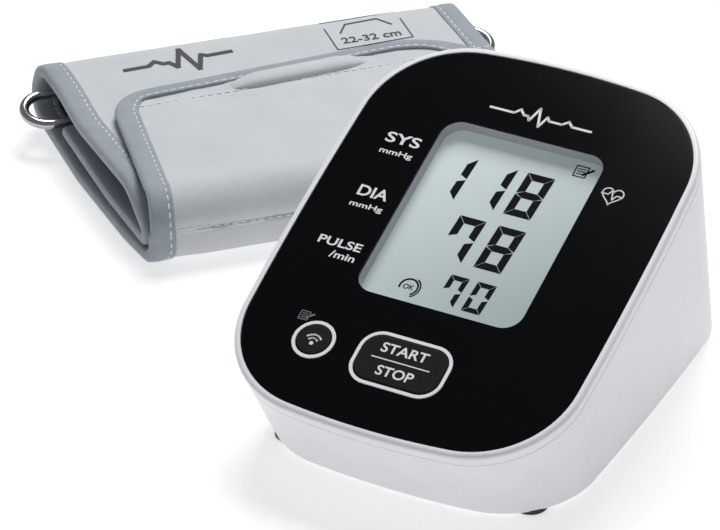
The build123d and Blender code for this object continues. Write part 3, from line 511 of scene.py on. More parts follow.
def polygon_piece(name, outlines, surface_w, material, body):
    """Thin printed shapes on the panel or the display: outlines are lists of (u, v) points."""
    work = bmesh.new()
    add_prisms(work, outlines, lambda u, v, w: on_panel(u, v, surface_w + w), PRINT_DEPTH)
    piece = new_piece(name, finish_mesh(work, name), material, smooth=False)
    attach(piece, body)
    return piece


def lettering(name, words, centre, size, bold):
    """Mesh of plain letters that fills that width and height in millimetres, with z from 0 to 1."""
    data = bpy.data.curves.new(name, "FONT")
    data.body = words
    data.size = 1.0
    data.offset = bold
    data.extrude = 0.5
    data.resolution_u = 5
    maker = bpy.data.objects.new(name, data)
    bpy.context.scene.collection.objects.link(maker)
    bpy.context.view_layer.update()
    mesh = bpy.data.meshes.new_from_object(maker)
    bpy.data.objects.remove(maker)
    mesh.materials.clear()
    for axis in (0, 1):
        low = min(v.co[axis] for v in mesh.vertices)
        high = max(v.co[axis] for v in mesh.vertices)
        for vertex in mesh.vertices:
            vertex.co[axis] = centre[axis] + size[axis] * ((vertex.co[axis] - low) / (high - low) - 0.5)
    for vertex in mesh.vertices:
        vertex.co.z += 0.5
    return mesh


def text_piece(name, words, centre, size, material, body, surface_w, bold=0.018):
    mesh = lettering(name, words, centre, size, bold)
    for vertex in mesh.vertices:
        vertex.co = on_panel(vertex.co.x, vertex.co.y, surface_w + vertex.co.z * PRINT_DEPTH)
    piece = new_piece(name, mesh, material, smooth=False)
    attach(piece, body)
    return piece


STROKE_OVERRUN = 0.32        # each run goes on past its ends by this share of its width


def stroke(points, width, closed=False):
    """Four-sided outlines along a line of points, one for each run."""
    pairs = list(zip(points, points[1:] + points[:1])) if closed else list(zip(points, points[1:]))
    made = []
    for (a, b), (c, d) in pairs:
        length = math.hypot(c - a, d - b)
        ax, ay = (c - a) / length, (d - b) / length
        across = (-ay * width / 2, ax * width / 2)
        over = width * STROKE_OVERRUN
        start = (a - ax * over, b - ay * over)
        stop = (c + ax * over, d + ay * over)
        corners = ((start, -1), (stop, -1), (stop, 1), (start, 1))
        made.append([(x + side * across[0], y + side * across[1]) for (x, y), side in corners])
    return made


def arc_points(centre, radius, first, last, count):
    angles = [math.radians(first + (last - first) * k / count) for k in range(count + 1)]
    return [(centre[0] + radius * math.cos(a), centre[1] + radius * math.sin(a)) for a in angles]


def digit_outlines(figure, left, right, low, high, bar):
    """Seven-segment figure between those edges, its bars with pointed ends and gaps between them."""
    middle = (low + high) / 2
    half = bar / 2
    gap = SEGMENT_GAP

    def level(outer, inner):
        """Bar across, with mitred ends: its outer edge, then its inner edge backwards."""
        return [(left + gap, outer), (right - gap, outer),
                (right - bar - gap, inner), (left + bar + gap, inner)]

    def upright(outer, inner, end):
        """Bar from the figure's top or bottom end to its middle."""
        lean = math.copysign(1, end - middle)
        return [(outer, end - lean * gap), (outer, middle + lean * 2 * gap),
                (inner, middle + lean * (half + gap)), (inner, end - lean * (bar + gap))]

    shapes = {
        "a": level(high, high - bar),
        "b": upright(right, right - bar, high),
        "c": upright(right, right - bar, low),
        "d": level(low, low + bar),
        "e": upright(left, left + bar, low),
        "f": upright(left, left + bar, high),
        "g": [(left + 3 * gap, middle), (left + bar, middle + half), (right - bar, middle + half),
              (right - 3 * gap, middle), (right - bar, middle - half), (left + bar, middle - half)],
    }
    outlines = [shapes[key] for key in SEGMENTS[figure]]
    return [[(x + (y - middle) * FIGURE_SLANT, y) for x, y in outline] for outline in outlines]


# figure, left, right, low, high, width of its bars
FIGURES = [
    ("1", -21.4, -12.9, 16.3, 31.9, 2.4),
    ("1", -8.7, -0.2, 16.3, 31.9, 2.4),
    ("8", 2.95, 11.55, 16.3, 31.9, 2.4),
    ("7", -9.4, -1.0, -3.6, 12.0, 2.4),
    ("8", 2.95, 11.55, -3.6, 12.0, 2.4),
    ("7", -2.5, 3.3, -18.5, -7.9, 1.62),
    ("0", 5.9, 11.8, -18.5, -7.9, 1.62),
]
CUFF_SIGN = (-12.2, -15.7)
# words, centre, width and height
PANEL_WORDS = [
    ("SYS", (-34.5, 28.8), (11.0, 3.7)), ("mmHg", (-34.5, 23.5), (10.5, 2.4)),
    ("DIA", (-34.4, 8.7), (9.6, 3.8)), ("mmHg", (-34.35, 3.4), (10.5, 2.4)),
    ("PULSE", (-35.6, -10.6), (13.8, 2.9)), ("/min", (-33.0, -14.6), (8.0, 2.5)),
]
BUTTON_WORDS = [("START", (-0.45, -39.7), (14.5, 3.3)), ("STOP", (-0.1, -47.2), (11.4, 3.3))]


def add_display_signs(ink):
    glass_w = panel_height("display_glass") + PRINT_LIFT
    outlines = []
    for figure in FIGURES:
        outlines += digit_outlines(*figure)
    polygon_piece("display_figures", outlines, glass_w, ink, "monitor")
    ring = stroke(arc_points(CUFF_SIGN, 2.75, -55, 195, 26), 0.58)
    ring += stroke(arc_points(CUFF_SIGN, 3.5, -60, 60, 12), 0.45)
    polygon_piece("cuff_sign_ring", ring, glass_w, ink, "monitor")
    text_piece("cuff_sign", "OK", CUFF_SIGN, (3.4, 1.75), ink, "monitor", glass_w)
    memo = memo_outlines((18.65, 36.7), 1.25)
    polygon_piece("display_memo_sign", memo, glass_w, ink, "monitor")


def memo_outlines(centre, size):
    """A sheet of paper with three lines, and a pencil across its corner."""
    x, y = centre
    left = x - 2.1 * size
    right = x + 0.9 * size
    low = y - 1.5 * size
    high = y + 1.5 * size
    page = [(left, low), (right, low), (right, high), (left, high)]
    made = stroke(page, 0.3 * size, closed=True)
    for row in (-0.7, 0.0, 0.7):
        made += stroke([(x - 1.5 * size, y + row * size), (x + 0.3 * size, y + row * size)], 0.26 * size)
    made += stroke([(x + 0.1 * size, y - 0.8 * size), (x + 2.2 * size, y + 1.1 * size)], 0.62 * size)
    return made


def heart_outline(centre, size):
    points = []
    for k in range(36):
        a = math.tau * k / 36
        x = 16 * math.sin(a) ** 3
        y = 13 * math.cos(a) - 5 * math.cos(2 * a) - 2 * math.cos(3 * a) - math.cos(4 * a)
        points.append((centre[0] - x * size / 32, centre[1] + y * size / 32))
    return points


def add_panel_print(white, grey):
    level = panel_height("front_panel") + PRINT_LIFT
    for k, (words, centre, size) in enumerate(PANEL_WORDS):
        name = "print_" + "".join(c for c in words.lower() if c.isalpha()) + f"_{k + 1}"
        text_piece(name, words, centre, size, white, "monitor", level)
    pulse = [(-15.3, 47.6), (-7.6, 47.6), (-6.1, 49.3), (-4.5, 47.6), (-3.1, 47.6),
             (-2.3, 46.2), (-0.7, 51.2), (1.2, 44.8), (2.6, 48.8), (3.6, 47.6),
             (7.6, 47.6), (9.3, 49.1), (10.9, 47.6), (16.9, 47.6)]
    polygon_piece("maker_mark_stand_in", stroke(pulse, 0.75), level, white, "monitor")
    beat = [(28.8, 28.6), (30.9, 28.6), (31.7, 30.2), (32.7, 26.9), (33.5, 28.6), (35.5, 28.6)]
    heart = heart_outline((32.2, 28.4), 6.4)
    signs = stroke(heart, 0.4, closed=True) + stroke(beat, 0.36)
    polygon_piece("heartbeat_sign", signs, level, white, "monitor")
    polygon_piece("memo_sign", memo_outlines((-33.5, -36.6), 0.95), level, grey, "monitor")


def add_button_print(white):
    start_w = panel_height("start_stop_button") + PRINT_LIFT
    link_w = panel_height("link_button") + PRINT_LIFT
    for words, centre, size in BUTTON_WORDS:
        name = f"word_{words.lower()}"
        text_piece(name, words, centre, size, white, "start_stop_button", start_w)
    line = stroke([(-9.1, -43.5), (8.8, -43.5)], 0.36)
    polygon_piece("button_line", line, start_w, white, "start_stop_button")
    centre = (-27.6, -45.0)
    waves = [arc_points(centre, 0.62, 0, 345, 12)]
    for radius in (1.7, 2.9):
        waves += stroke(arc_points(centre, radius, 42, 138, 10), 0.55)
    polygon_piece("wireless_sign", waves, link_w, white, "link_button")


# -------- cuff: fold profile, in millimetres
CUFF_WIDTH = 141.0
END_SKEW = math.radians(5.9)      # the cuff's ends lean back from square to the folds
STRIP_HALF = 1.6                  # half the thickness of cover, bladder and lining together
SKIN = 0.7
COVER_SWELL = 0.5                 # how far the strip's cover and its lining swell between their tapes
LINING_SWELL = 0.22
SECTION_STEP = 2.4                # spacing of the cloth's rows round the folds
STRIP_COLUMNS = 60
TAPE_SKIN = 0.45
TAPE_WIDTH = 7.2
END_TAPE_WIDTH = 5.0
STITCH_IN = 5.6                   # seam's distance from a bound edge
SEAM_HEIGHT = 12.6                # where the flap is sewn to the near face
LOW_LINE = STRIP_HALF + TAPE_SKIN
NEAR_LINE = -1.4
# middle line of the strip: down the near face, along the bottom, round the far fold,
# back over the top, round the inner fold and up to the ring
STRIP_PATH = [(NEAR_LINE, SEAM_HEIGHT - 0.1), (NEAR_LINE, LOW_LINE), (58.0, LOW_LINE), (100.8, 7.8),
              (97.3, 22.0), (58.0, 18.9), (18.0, 19.4), (NEAR_LINE, 6.6), (34.0, 6.6), (73.0, 10.4)]
STRIP_ROUNDS = [6.0, 60.0, 6.5, 5.2, 60.0, 20.0, 2.45, 60.0]
FLAP_LAYER = 1.3                  # lining and cover of the flap together
FLAP_MIDDLE = 23.35
CREASE_LINE = NEAR_LINE - STRIP_HALF + FLAP_LAYER / 2
CREASE_ROUND = 9.9
FLAP_START = 8.0
FLAP_CORNERS = [(1.2, FLAP_START), (5.9, 66.0), (125.5, 75.5), (139.8, FLAP_START)]
FLAP_ROUNDS = [15.0, 30.0]
FLAP_REACH = 66.0
RIDGE_ENDS = [(47.5, 60.9), (88.0, 64.1)]
RIDGE_HEIGHT = 3.1
RIDGE_HALF = 3.9
RIDGE_TAPER = 12.0                # the ridge sinks into the flap over this length at each end
RIDGE_STEPS = 40
RIDGE_SIDES = 16
RIDGE_SIDE_WIDTH = 0.8
FLAP_SEAM = [(7.0, 56.6), (39.4, 57.7), (87.2, 59.1), (132.0, 60.6)]

# cuff axes: along the folds, deep from the near fold to the far one, up
hinge = joints["flap_open"]
along = Vector(hinge["axis"]).normalized()
deep = Vector(joints["cuff_move"]["axis"]).normalized()
up = Vector((0, 0, 1))
HINGE_SETBACK = 0.2 * MM
cuff_corner = Vector(hinge["pos_m"]) + deep * HINGE_SETBACK
cuff_corner.z = 0.0
end_line = deep * math.cos(END_SKEW) - along * math.sin(END_SKEW)


def in_section(x, z, w):
    """Point at x along the cuff's left end, z up and w along the folds, all in millimetres."""
    return cuff_corner + (end_line * x + up * z + along * w) * MM


def in_plan(t, s, z):
    """Point at t along the folds, s square to them and z up, all in millimetres."""
    return cuff_corner + (along * t + deep * s + up * z) * MM


def rounded_path(points, radii, step):
    """Places along straight runs joined by arcs, with the heading at each: (x, y, angle)."""
    places = [Vector(point) for point in points]
    stops = [(places[0], None)]
    for before, corner, after, radius in zip(places, places[1:], places[2:], radii):
        into = (corner - before).normalized()
        out = (after - corner).normalized()
        turn = -into.angle_signed(out)
        cut = radius * math.tan(abs(turn) / 2)
        side = Vector((-into.y, into.x)) * math.copysign(radius, turn)
        stops.append((corner - into * cut, (corner - into * cut + side, turn)))
        stops.append((corner + out * cut, None))
    stops.append((places[-1], None))
    made = []
    for (start, arc), (stop, _) in zip(stops, stops[1:]):
        if arc is None:
            span = stop - start
            heading = math.atan2(span.y, span.x)
            count = max(1, round(span.length / step))
            made += [(*(start + span * (k / count)), heading) for k in range(count)]
            continue
        hub, turn = arc
        arm = start - hub
        first = math.atan2(arm.y, arm.x)
        count = max(6, round(arm.length * abs(turn) / step))
        for k in range(count):
            angle = first + turn * k / count
            place = hub + Vector((math.cos(angle), math.sin(angle))) * arm.length
            made.append((*place, angle + math.copysign(math.pi / 2, turn)))
    made.append((*places[-1], made[-1][2]))
    return made


def path_length(path):
    return sum(math.dist(a[:2], b[:2]) for a, b in zip(path, path[1:]))


def ramp_between(value, start, stop):
    """0 before start, 1 after stop, smooth between."""
    share = min(1.0, max(0.0, (value - start) / (stop - start)))
    return share * share * (3 - 2 * share)


def waver(x, y, seed):
    """Smooth unevenness between about -1 and 1, with hills about one unit across."""
    place = Vector((x, y, seed))
    return noise.noise(place) + 0.4 * noise.noise(place * 2.3)


# -------- cuff: cloth meshes
def shell(name, outside, inside, flat, material):
    """Closed cloth between two grids of points; flat gives the columns' and rows' flat places."""
    rows = len(outside)
    columns = len(outside[0])
    work = bmesh.new()
    layer = work.loops.layers.uv.new("flat")
    grids = [[[work.verts.new(point) for point in row] for row in grid] for grid in (outside, inside)]
    across, down = flat

    def face(corners, places):
        made = work.faces.new(corners)
        for loop, (i, j) in zip(made.loops, places):
            loop[layer].uv = (across[j] * MM, down[i] * MM)

    for grid, flip in zip(grids, (False, True)):
        for i in range(rows - 1):
            for j in range(columns - 1):
                places = [(i, j), (i, j + 1), (i + 1, j + 1), (i + 1, j)]
                if flip:
                    places.reverse()
                face([grid[a][b] for a, b in places], places)
    rim = [(0, j) for j in range(columns)] + [(i, columns - 1) for i in range(1, rows)]
    rim += [(rows - 1, j) for j in range(columns - 2, -1, -1)] + [(i, 0) for i in range(rows - 2, 0, -1)]
    for here, there in zip(rim, rim[1:] + rim[:1]):
        corners = [grids[0][there[0]][there[1]], grids[0][here[0]][here[1]],
                   grids[1][here[0]][here[1]], grids[1][there[0]][there[1]]]
        face(corners, [there, here, here, there])
    return new_piece(name, finish_mesh(work, name), material)


def sweep(name, stations, profile, material):
    """Tape: a closed section carried along stations of (place, outward, inward).

    profile(k) gives the section's (inward, outward) points at station k, in millimetres."""
    work = bmesh.new()
    rings = []
    travelled = [0.0]
    for k, (place, outward, inward) in enumerate(stations):
        if k:
            travelled.append(travelled[-1] + (place - stations[k - 1][0]).length)
        rings.append([work.verts.new(place + (inward * q + outward * n) * MM) for q, n in profile(k)])
    section = profile(0)
    girth = [0.0]
    for here, there in zip(section, section[1:] + section[:1]):
        girth.append(girth[-1] + math.dist(here, there) * MM)
    add_tube(work, rings, lambda k, i: (travelled[k], girth[i]))
    return new_piece(name, finish_mesh(work, name), material)


def tape_profile(half, width, seed, skin=TAPE_SKIN):
    """Section of a folded edge tape round cloth of that half thickness, drawn in along its seam."""
    def profile(k):
        swell = 0.10 * waver(k * 0.35, 0.0, seed)
        edge = 0.18 * waver(k * 0.22, 4.0, seed)
        wide = width(k) if callable(width) else width
        top = half + skin
        seam = min(STITCH_IN, wide - 1.4)
        face = [(wide, half - 0.25), (wide - 0.05 + edge, top - 0.14), (wide - 0.45 + edge, top),
                (seam + 0.5, top + swell * 0.5), (seam, top - 0.2), (seam - 0.6, top + 0.03 + swell),
                (seam * 0.5, top + 0.14 + swell), (1.2, top + 0.05)]
        nose = []
        for step in range(1, 8):
            angle = math.pi / 2 - math.pi * step / 8
            nose.append((0.5 - (0.7 + 0.2 * top) * math.cos(angle), top * math.sin(angle)))
        back = [(q, -n) for q, n in reversed(face)]
        core = [(wide - 1.0, -half + 0.3), (1.4, -half + 0.3), (1.4, half - 0.3), (wide - 1.0, half - 0.3)]
        return face + nose + back + core
    return profile


STITCH_LENGTH = 2.0
STITCH_GAP = 0.85
STITCH_WIDTH = 0.55
STITCH_HEIGHT = 0.34
STITCH_SIDES = 6
STITCH_SKEW = 0.16           # the thread crosses the seam by up to this much either way
# share of a stitch's length, and the thread's thickness there
STITCH_SHARES = ((0.0, 0.35), (0.18, 0.95), (0.5, 1.0), (0.82, 0.95), (1.0, 0.35))


def stitches(name, line, material, rise=0.12):
    """Sewn dashes along a line of (place, outward) points."""
    random.seed(len(line) + len(name))
    work = bmesh.new()
    reach = [0.0]
    for (a, _), (b, _) in zip(line, line[1:]):
        reach.append(reach[-1] + (b - a).length / MM)

    def at(distance, k):
        while k < len(line) - 1 and reach[k] < distance:
            k += 1
        share = min(1.0, max(0.0, (distance - reach[k - 1]) / max(reach[k] - reach[k - 1], 1e-6)))
        place = line[k - 1][0].lerp(line[k][0], share)
        outward = line[k - 1][1].lerp(line[k][1], share).normalized()
        return place, outward, (line[k][0] - line[k - 1][0]).normalized(), k

    start = 0.4
    found = 1
    while start + STITCH_LENGTH < reach[-1]:
        rings = []
        skewed = random.uniform(-STITCH_SKEW, STITCH_SKEW)
        for share, size in STITCH_SHARES:
            place, outward, heading, k = at(start + STITCH_LENGTH * share, found)
            if share == 0.0:
                found = k
            side = heading.cross(outward)
            place = place + (side * skewed * (share - 0.5) + outward * (rise * (2 * size - 1))) * MM
            ring = []
            for step in range(STITCH_SIDES):
                angle = math.tau * step / STITCH_SIDES
                offset = side * math.cos(angle) * STITCH_WIDTH / 2
                offset += outward * math.sin(angle) * STITCH_HEIGHT / 2
                ring.append(work.verts.new(place + offset * size * MM))
            rings.append(ring)
        add_tube(work, rings)
        start += STITCH_LENGTH + STITCH_GAP * random.uniform(0.85, 1.15)
    return new_piece(name, finish_mesh(work, name), material)


# -------- cuff: the folded strip
def strip_frames(step):
    """Stations along the strip: distance from its seam, place in the section, outward normal."""
    path = rounded_path(STRIP_PATH, STRIP_ROUNDS, step)
    travelled = 0.0
    frames = []
    for k, (x, z, heading) in enumerate(path):
        if k:
            travelled += math.dist(path[k - 1][:2], (x, z))
        outward = end_line * math.sin(heading) - up * math.cos(heading)
        frames.append((travelled, x, z, outward.normalized()))
    return frames


def left_shift(distance):
    """How far the strip's left edge strays along the folds: out at the bottom, in at the far corner."""
    bottom = ramp_between(distance, 8, 30) * (1 - ramp_between(distance, 98, 118))
    far_corner = ramp_between(distance, 112, 128) * (1 - ramp_between(distance, 134, 160))
    return -1.3 * bottom + 1.3 * far_corner


def layer_lift(distance, w, wrinkle):
    """How far the strip's cover stands proud: crowned between the tapes, and creased."""
    away = min(w, CUFF_WIDTH - w)
    crown = ramp_between(away, TAPE_WIDTH - 1, TAPE_WIDTH + 12)
    broad = 0.4 * waver(distance * 0.03, w * 0.04, 3.0)
    fine = 0.12 * waver(distance * 0.11, w * 0.1, 9.0)
    return wrinkle * crown * (0.6 + broad + fine)


def strip_layer(name, low, high, wrinkle, material):
    """One skin of the strip, between two distances from its middle line."""
    across = [CUFF_WIDTH * j / STRIP_COLUMNS for j in range(STRIP_COLUMNS + 1)]
    frames = strip_frames(SECTION_STEP)
    outside = []
    inside = []
    for distance, x, z, outward in frames:
        first = left_shift(distance) + 1.0
        last = CUFF_WIDTH - 1.0
        row_out = []
        row_in = []
        for w in across:
            lift = layer_lift(distance, w, wrinkle)
            spot = in_section(x, z, first + (last - first) * w / CUFF_WIDTH)
            row_out.append(spot + outward * (high + (lift if high > 0 else 0)) * MM)
            row_in.append(spot + outward * (low - (lift if low < 0 else 0)) * MM)
        outside.append(row_out)
        inside.append(row_in)
    return shell(name, outside, inside, (across, [station[0] for station in frames]), material)


def strip_edge(side, inset=0.0, height=0.0):
    """Stations along the strip's left (-1) or right (1) edge."""
    stations = []
    for distance, x, z, outward in strip_frames(2.0):
        w = left_shift(distance) if side < 0 else CUFF_WIDTH
        inward = along * -side
        stations.append((in_section(x, z, w) + (inward * inset + outward * height) * MM, outward, inward))
    return stations


def add_strip(looks):
    inside = STRIP_HALF - SKIN
    cover = strip_layer("cuff_cover_cloth", inside, STRIP_HALF, COVER_SWELL, looks["cloth"])
    inner = strip_layer("cuff_lining_cloth", -STRIP_HALF, -inside, LINING_SWELL, looks["lining"])
    tapes = []
    seams = []
    for side, word in ((-1, "left"), (1, "right")):
        section = tape_profile(STRIP_HALF, TAPE_WIDTH, side)
        tapes.append(sweep(f"{word}_edge_tape", strip_edge(side), section, looks["tape"]))
        for face, sign in (("outer", 1), ("inner", -1)):
            level = (STRIP_HALF + TAPE_SKIN - 0.2) * sign
            line = [(place, outward * sign) for place, outward, _ in strip_edge(side, STITCH_IN, level)]
            seams.append(stitches(f"{word}_edge_stitches_{face}", line, looks["thread"]))
    for piece in [cover, inner] + tapes + seams:
        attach(piece, "cuff")
    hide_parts("cuff_cover")
    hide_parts("cuff_lining")
    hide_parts("cuff_binding")
    length = path_length(rounded_path(STRIP_PATH, STRIP_ROUNDS, 1.0)) * MM


# -------- cuff: the flap
flap_outline = rounded_path(FLAP_CORNERS, FLAP_ROUNDS, 1.5)
crease_corners = [(CREASE_LINE, SEAM_HEIGHT - 1.4), (CREASE_LINE, FLAP_MIDDLE), (FLAP_START, FLAP_MIDDLE)]
flap_crease = rounded_path(crease_corners, [CREASE_ROUND], 1.3)
crease_length = path_length(flap_crease)
FLAP_COLUMNS = 90
FLAP_ROWS = 46
LINING_COLUMNS = 40
SEAM_POINTS = 100
FLAP_EDGE = 0.9              # the cloth ends this far inside its tape's fold
# below the crease the tape's ends sink into the tape round the cuff: how far down, how far in
TAPE_TUCK = [(3.2, 0.75), (2.2, 0.45), (1.1, 0.18)]


def far_edge(t):
    """How deep the flap reaches at t along the folds."""
    for (a, b, _), (c, d, _) in zip(flap_outline, flap_outline[1:]):
        if a <= t <= c and c > a:
            return b + (d - b) * (t - a) / (c - a)
    return FLAP_START


def crease_side(share, side):
    """Left (-1) or right (1) end of the flap's crease, from the near face to the flap's start."""
    near = 0.24 if side < 0 else CUFF_WIDTH
    start = FLAP_CORNERS[0][0] if side < 0 else FLAP_CORNERS[3][0]
    return near + (start - near) * ramp_between(share, 0.2, 1.0)


def crease_lean(share, side):
    """Angle that the tape's inner edge turns by as the flap narrows beyond its crease."""
    near, far = (FLAP_CORNERS[0], FLAP_CORNERS[1]) if side < 0 else (FLAP_CORNERS[3], FLAP_CORNERS[2])
    return math.atan2(abs(far[0] - near[0]), far[1] - near[1]) * ramp_between(share, 0.2, 1.0)


def seam_depth(t):
    """Depth of the seam across the flap at t."""
    for (a, b), (c, d) in zip(FLAP_SEAM, FLAP_SEAM[1:]):
        if t <= c:
            return b + (d - b) * (t - a) / (c - a)
    return FLAP_SEAM[-1][1]


def along_ridge(t, s):
    """Distance from the line of the finger ridge."""
    (a, b), (c, d) = RIDGE_ENDS
    line = Vector((c - a, d - b))
    offset = Vector((t - a, s - b))
    reach = offset.dot(line) / line.length
    aside = abs(offset.x * line.y - offset.y * line.x) / line.length
    return math.hypot(aside, max(0.0, -reach, reach - line.length))


def flap_relief(t, s, left, right):
    """How far the flap's cover stands above its flat height."""
    stop = far_edge(t)
    margin = ramp_between(min(t - left, right - t, stop - s), TAPE_WIDTH - 2.5, TAPE_WIDTH + 4)
    swell = margin * (0.35 + 0.4 * waver(t * 0.035, s * 0.05, 1.0) + 0.1 * waver(t * 0.12, s * 0.16, 4.0))
    groove = math.exp(-((s - seam_depth(t)) / 1.0) ** 2) * (0.5 + 0.25 * waver(t * 0.4, 0.0, 2.0)) * margin
    beyond = ramp_between(s, seam_depth(t) + 0.5, seam_depth(t) + 2.5)
    dip = 0.75 * beyond * ramp_between(stop - s, END_TAPE_WIDTH - 2.0, END_TAPE_WIDTH + 0.5)
    dip *= ramp_between(along_ridge(t, s), RIDGE_HALF - 0.5, RIDGE_HALF + 2.5)
    return swell - groove - dip * (0.8 + 0.4 * waver(t * 0.12, s * 0.1, 5.0))


def crease_lift(t, x, z, travelled, inside):
    """How far the crease's cover stands out; inside runs from 0 at the tape to 1 on the open cloth."""
    lift = 0.30 + inside * (0.35 * waver(t * 0.035, (travelled - crease_length) * 0.06, 1.0) + 0.2
                            + 0.12 * waver(t * 0.25, travelled * 0.05, 6.0) * (1 - ramp_between(z, 14, 20)))
    if x < 0:
        lift -= 0.4 * math.exp(-((z - seam_line(t)) / 0.9) ** 2) * (1 + 0.35 * waver(t * 0.45, 0.0, 6.0))
    return lift


def flap_sides(share):
    """Left and right ends of the flap's cloth, at a share of the way from its start to its end."""
    left = FLAP_CORNERS[0][0] + (FLAP_CORNERS[1][0] - FLAP_CORNERS[0][0]) * share + FLAP_EDGE
    right = FLAP_CORNERS[3][0] + (FLAP_CORNERS[2][0] - FLAP_CORNERS[3][0]) * share - FLAP_EDGE
    return left, right


def flap_grid(columns):
    """Rows of (spot, outward, lift) from the near face's seam to the flap's end, and flat distances."""
    across = [j / columns for j in range(columns + 1)]
    rows = []
    down = []
    travelled = 0.0
    for k, (x, z, heading) in enumerate(flap_crease[:-1]):
        if k:
            travelled += math.dist(flap_crease[k - 1][:2], (x, z))
        share = travelled / crease_length
        outward = (deep * -math.sin(heading) + up * math.cos(heading)).normalized()
        left = crease_side(share, -1) + FLAP_EDGE
        right = crease_side(share, 1) - FLAP_EDGE
        row = []
        for part in across:
            t = left + (right - left) * part
            inside = ramp_between(min(t - left, right - t), TAPE_WIDTH - 3, TAPE_WIDTH + 4)
            row.append((in_plan(t, x, z), outward, crease_lift(t, x, z, travelled, inside)))
        rows.append(row)
        down.append(travelled)
    spread = FLAP_CORNERS[1][1] - FLAP_START
    for i in range(FLAP_ROWS + 1):
        reach = spread * i / FLAP_ROWS
        left, right = flap_sides(i / FLAP_ROWS)
        row = []
        for part in across:
            t = left + (right - left) * part
            s = FLAP_START + (far_edge(t) - FLAP_EDGE - FLAP_START) * i / FLAP_ROWS
            grown = ramp_between(s, FLAP_START, FLAP_START + 14)
            inside = ramp_between(min(t - left, right - t), TAPE_WIDTH - 3, TAPE_WIDTH + 4)
            near = 0.30 + inside * (0.35 * waver(t * 0.035, reach * 0.06, 1.0) + 0.2)
            lift = near * (1 - grown) + (0.1 + flap_relief(t, s, left, right)) * grown
            row.append((in_plan(t, s, FLAP_MIDDLE), up, lift))
        rows.append(row)
        down.append(crease_length + reach)
    return rows, ([part * CUFF_WIDTH for part in across], down)


def seam_line(t):
    """Height of the row of stitches that holds the flap to the near face."""
    return SEAM_HEIGHT + 0.5 - 1.0 * ramp_between(t, 4, 45) + 0.25 * waver(t * 0.08, 0.0, 12.0)


def flap_tape_width(heading):
    """The tape is narrower along the flap's end than up its sides."""
    return END_TAPE_WIDTH + (TAPE_WIDTH - END_TAPE_WIDTH) * ramp_between(abs(math.sin(heading)), 0.35, 0.95)


def flap_edge(inset=0.0, height=0.0):
    """Stations round the flap's bound edge, from the left of its crease to the right, and tape widths."""
    stations = []
    widths = []
    for side in (-1, 1):
        travelled = 0.0
        rise = []
        for k, (x, z, heading) in enumerate(flap_crease[:-1]):
            if k:
                travelled += math.dist(flap_crease[k - 1][:2], (x, z))
            outward = (deep * -math.sin(heading) + up * math.cos(heading)).normalized()
            run = deep * math.cos(heading) + up * math.sin(heading)
            lean = crease_lean(travelled / crease_length, side)
            inward = along * (-side * math.cos(lean)) - run * math.sin(lean)
            place = in_plan(crease_side(travelled / crease_length, side), x, z)
            if not k and not inset:
                for drop, sink in TAPE_TUCK:
                    rise.append((place - (run * drop + outward * sink) * MM, outward, inward))
            rise.append((place + (inward * inset + outward * height) * MM, outward, inward))
        if side < 0:
            stations += rise
            widths += [TAPE_WIDTH] * len(rise)
            for t, s, heading in flap_outline:
                inward = along * math.sin(heading) - deep * math.cos(heading)
                end_inset = inset * flap_tape_width(heading) / TAPE_WIDTH if inset else 0.0
                place = in_plan(t, s, FLAP_MIDDLE)
                stations.append((place + (inward * end_inset + up * height) * MM, up, inward))
                widths.append(flap_tape_width(heading))
        else:
            stations += reversed(rise)
            widths += [TAPE_WIDTH] * len(rise)
    return stations, widths


def add_flap(looks):
    rows, flat = flap_grid(FLAP_COLUMNS)
    half = FLAP_LAYER / 2
    outside = [[spot + outward * (half + lift) * MM for spot, outward, lift in row] for row in rows]
    between = [[spot + outward * 0.1 * MM for spot, outward, _ in row] for row in rows]
    cover = shell("flap_cover_cloth", outside, between, flat, looks["cloth"])
    rows, flat = flap_grid(LINING_COLUMNS)
    upper = [[spot for spot, _, _ in row] for row in rows]
    lower = [[spot - outward * half * MM for spot, outward, _ in row] for row in rows]
    lining = shell("flap_lining_cloth", upper, lower, flat, looks["lining"])
    stations, widths = flap_edge()
    section = tape_profile(half, lambda k: widths[k], 5.0, TAPE_SKIN + 0.15)
    tape = sweep("flap_edge_tape", stations, section, looks["tape"])
    seams = []
    for face, sign in (("outer", 1), ("inner", -1)):
        level = (half + TAPE_SKIN - 0.05) * sign
        line = [(place, outward * sign) for place, outward, _ in flap_edge(STITCH_IN, level)[0]]
        seams.append(stitches(f"flap_edge_stitches_{face}", line, looks["thread"]))
    first = crease_side(0, -1) + TAPE_WIDTH + 0.6
    last = crease_side(0, 1) - TAPE_WIDTH - 0.6
    near = []
    for k in range(SEAM_POINTS + 1):
        t = first + (last - first) * k / SEAM_POINTS
        z = seam_line(t)
        inside = ramp_between(min(t - first, last - t), -3.6, 3.4)
        lift = crease_lift(t, CREASE_LINE, z, z - flap_crease[0][1], inside)
        near.append((in_plan(t, CREASE_LINE - half - lift - 0.1, z), -deep))
    seams.append(stitches("flap_seam_stitches", near, looks["thread"]))
    across = []
    for k in range(SEAM_POINTS + 1):
        t = FLAP_SEAM[0][0] + (FLAP_SEAM[-1][0] - FLAP_SEAM[0][0]) * k / SEAM_POINTS
        s = seam_depth(t)
        left, right = flap_sides((s - FLAP_START) / (far_edge(t) - FLAP_EDGE - FLAP_START))
        across.append((in_plan(t, s, FLAP_MIDDLE + half + 0.2 + flap_relief(t, s, left, right)), up))
    seams.append(stitches("flap_cross_stitches", across, looks["thread"]))
    pieces = [cover, lining, tape] + seams
    area = sheet_area() * MM * MM
    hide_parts("flap_crease", "flap_cover")
    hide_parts("flap_lining")
    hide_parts("flap_binding")
    for piece in pieces:
        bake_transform(piece)


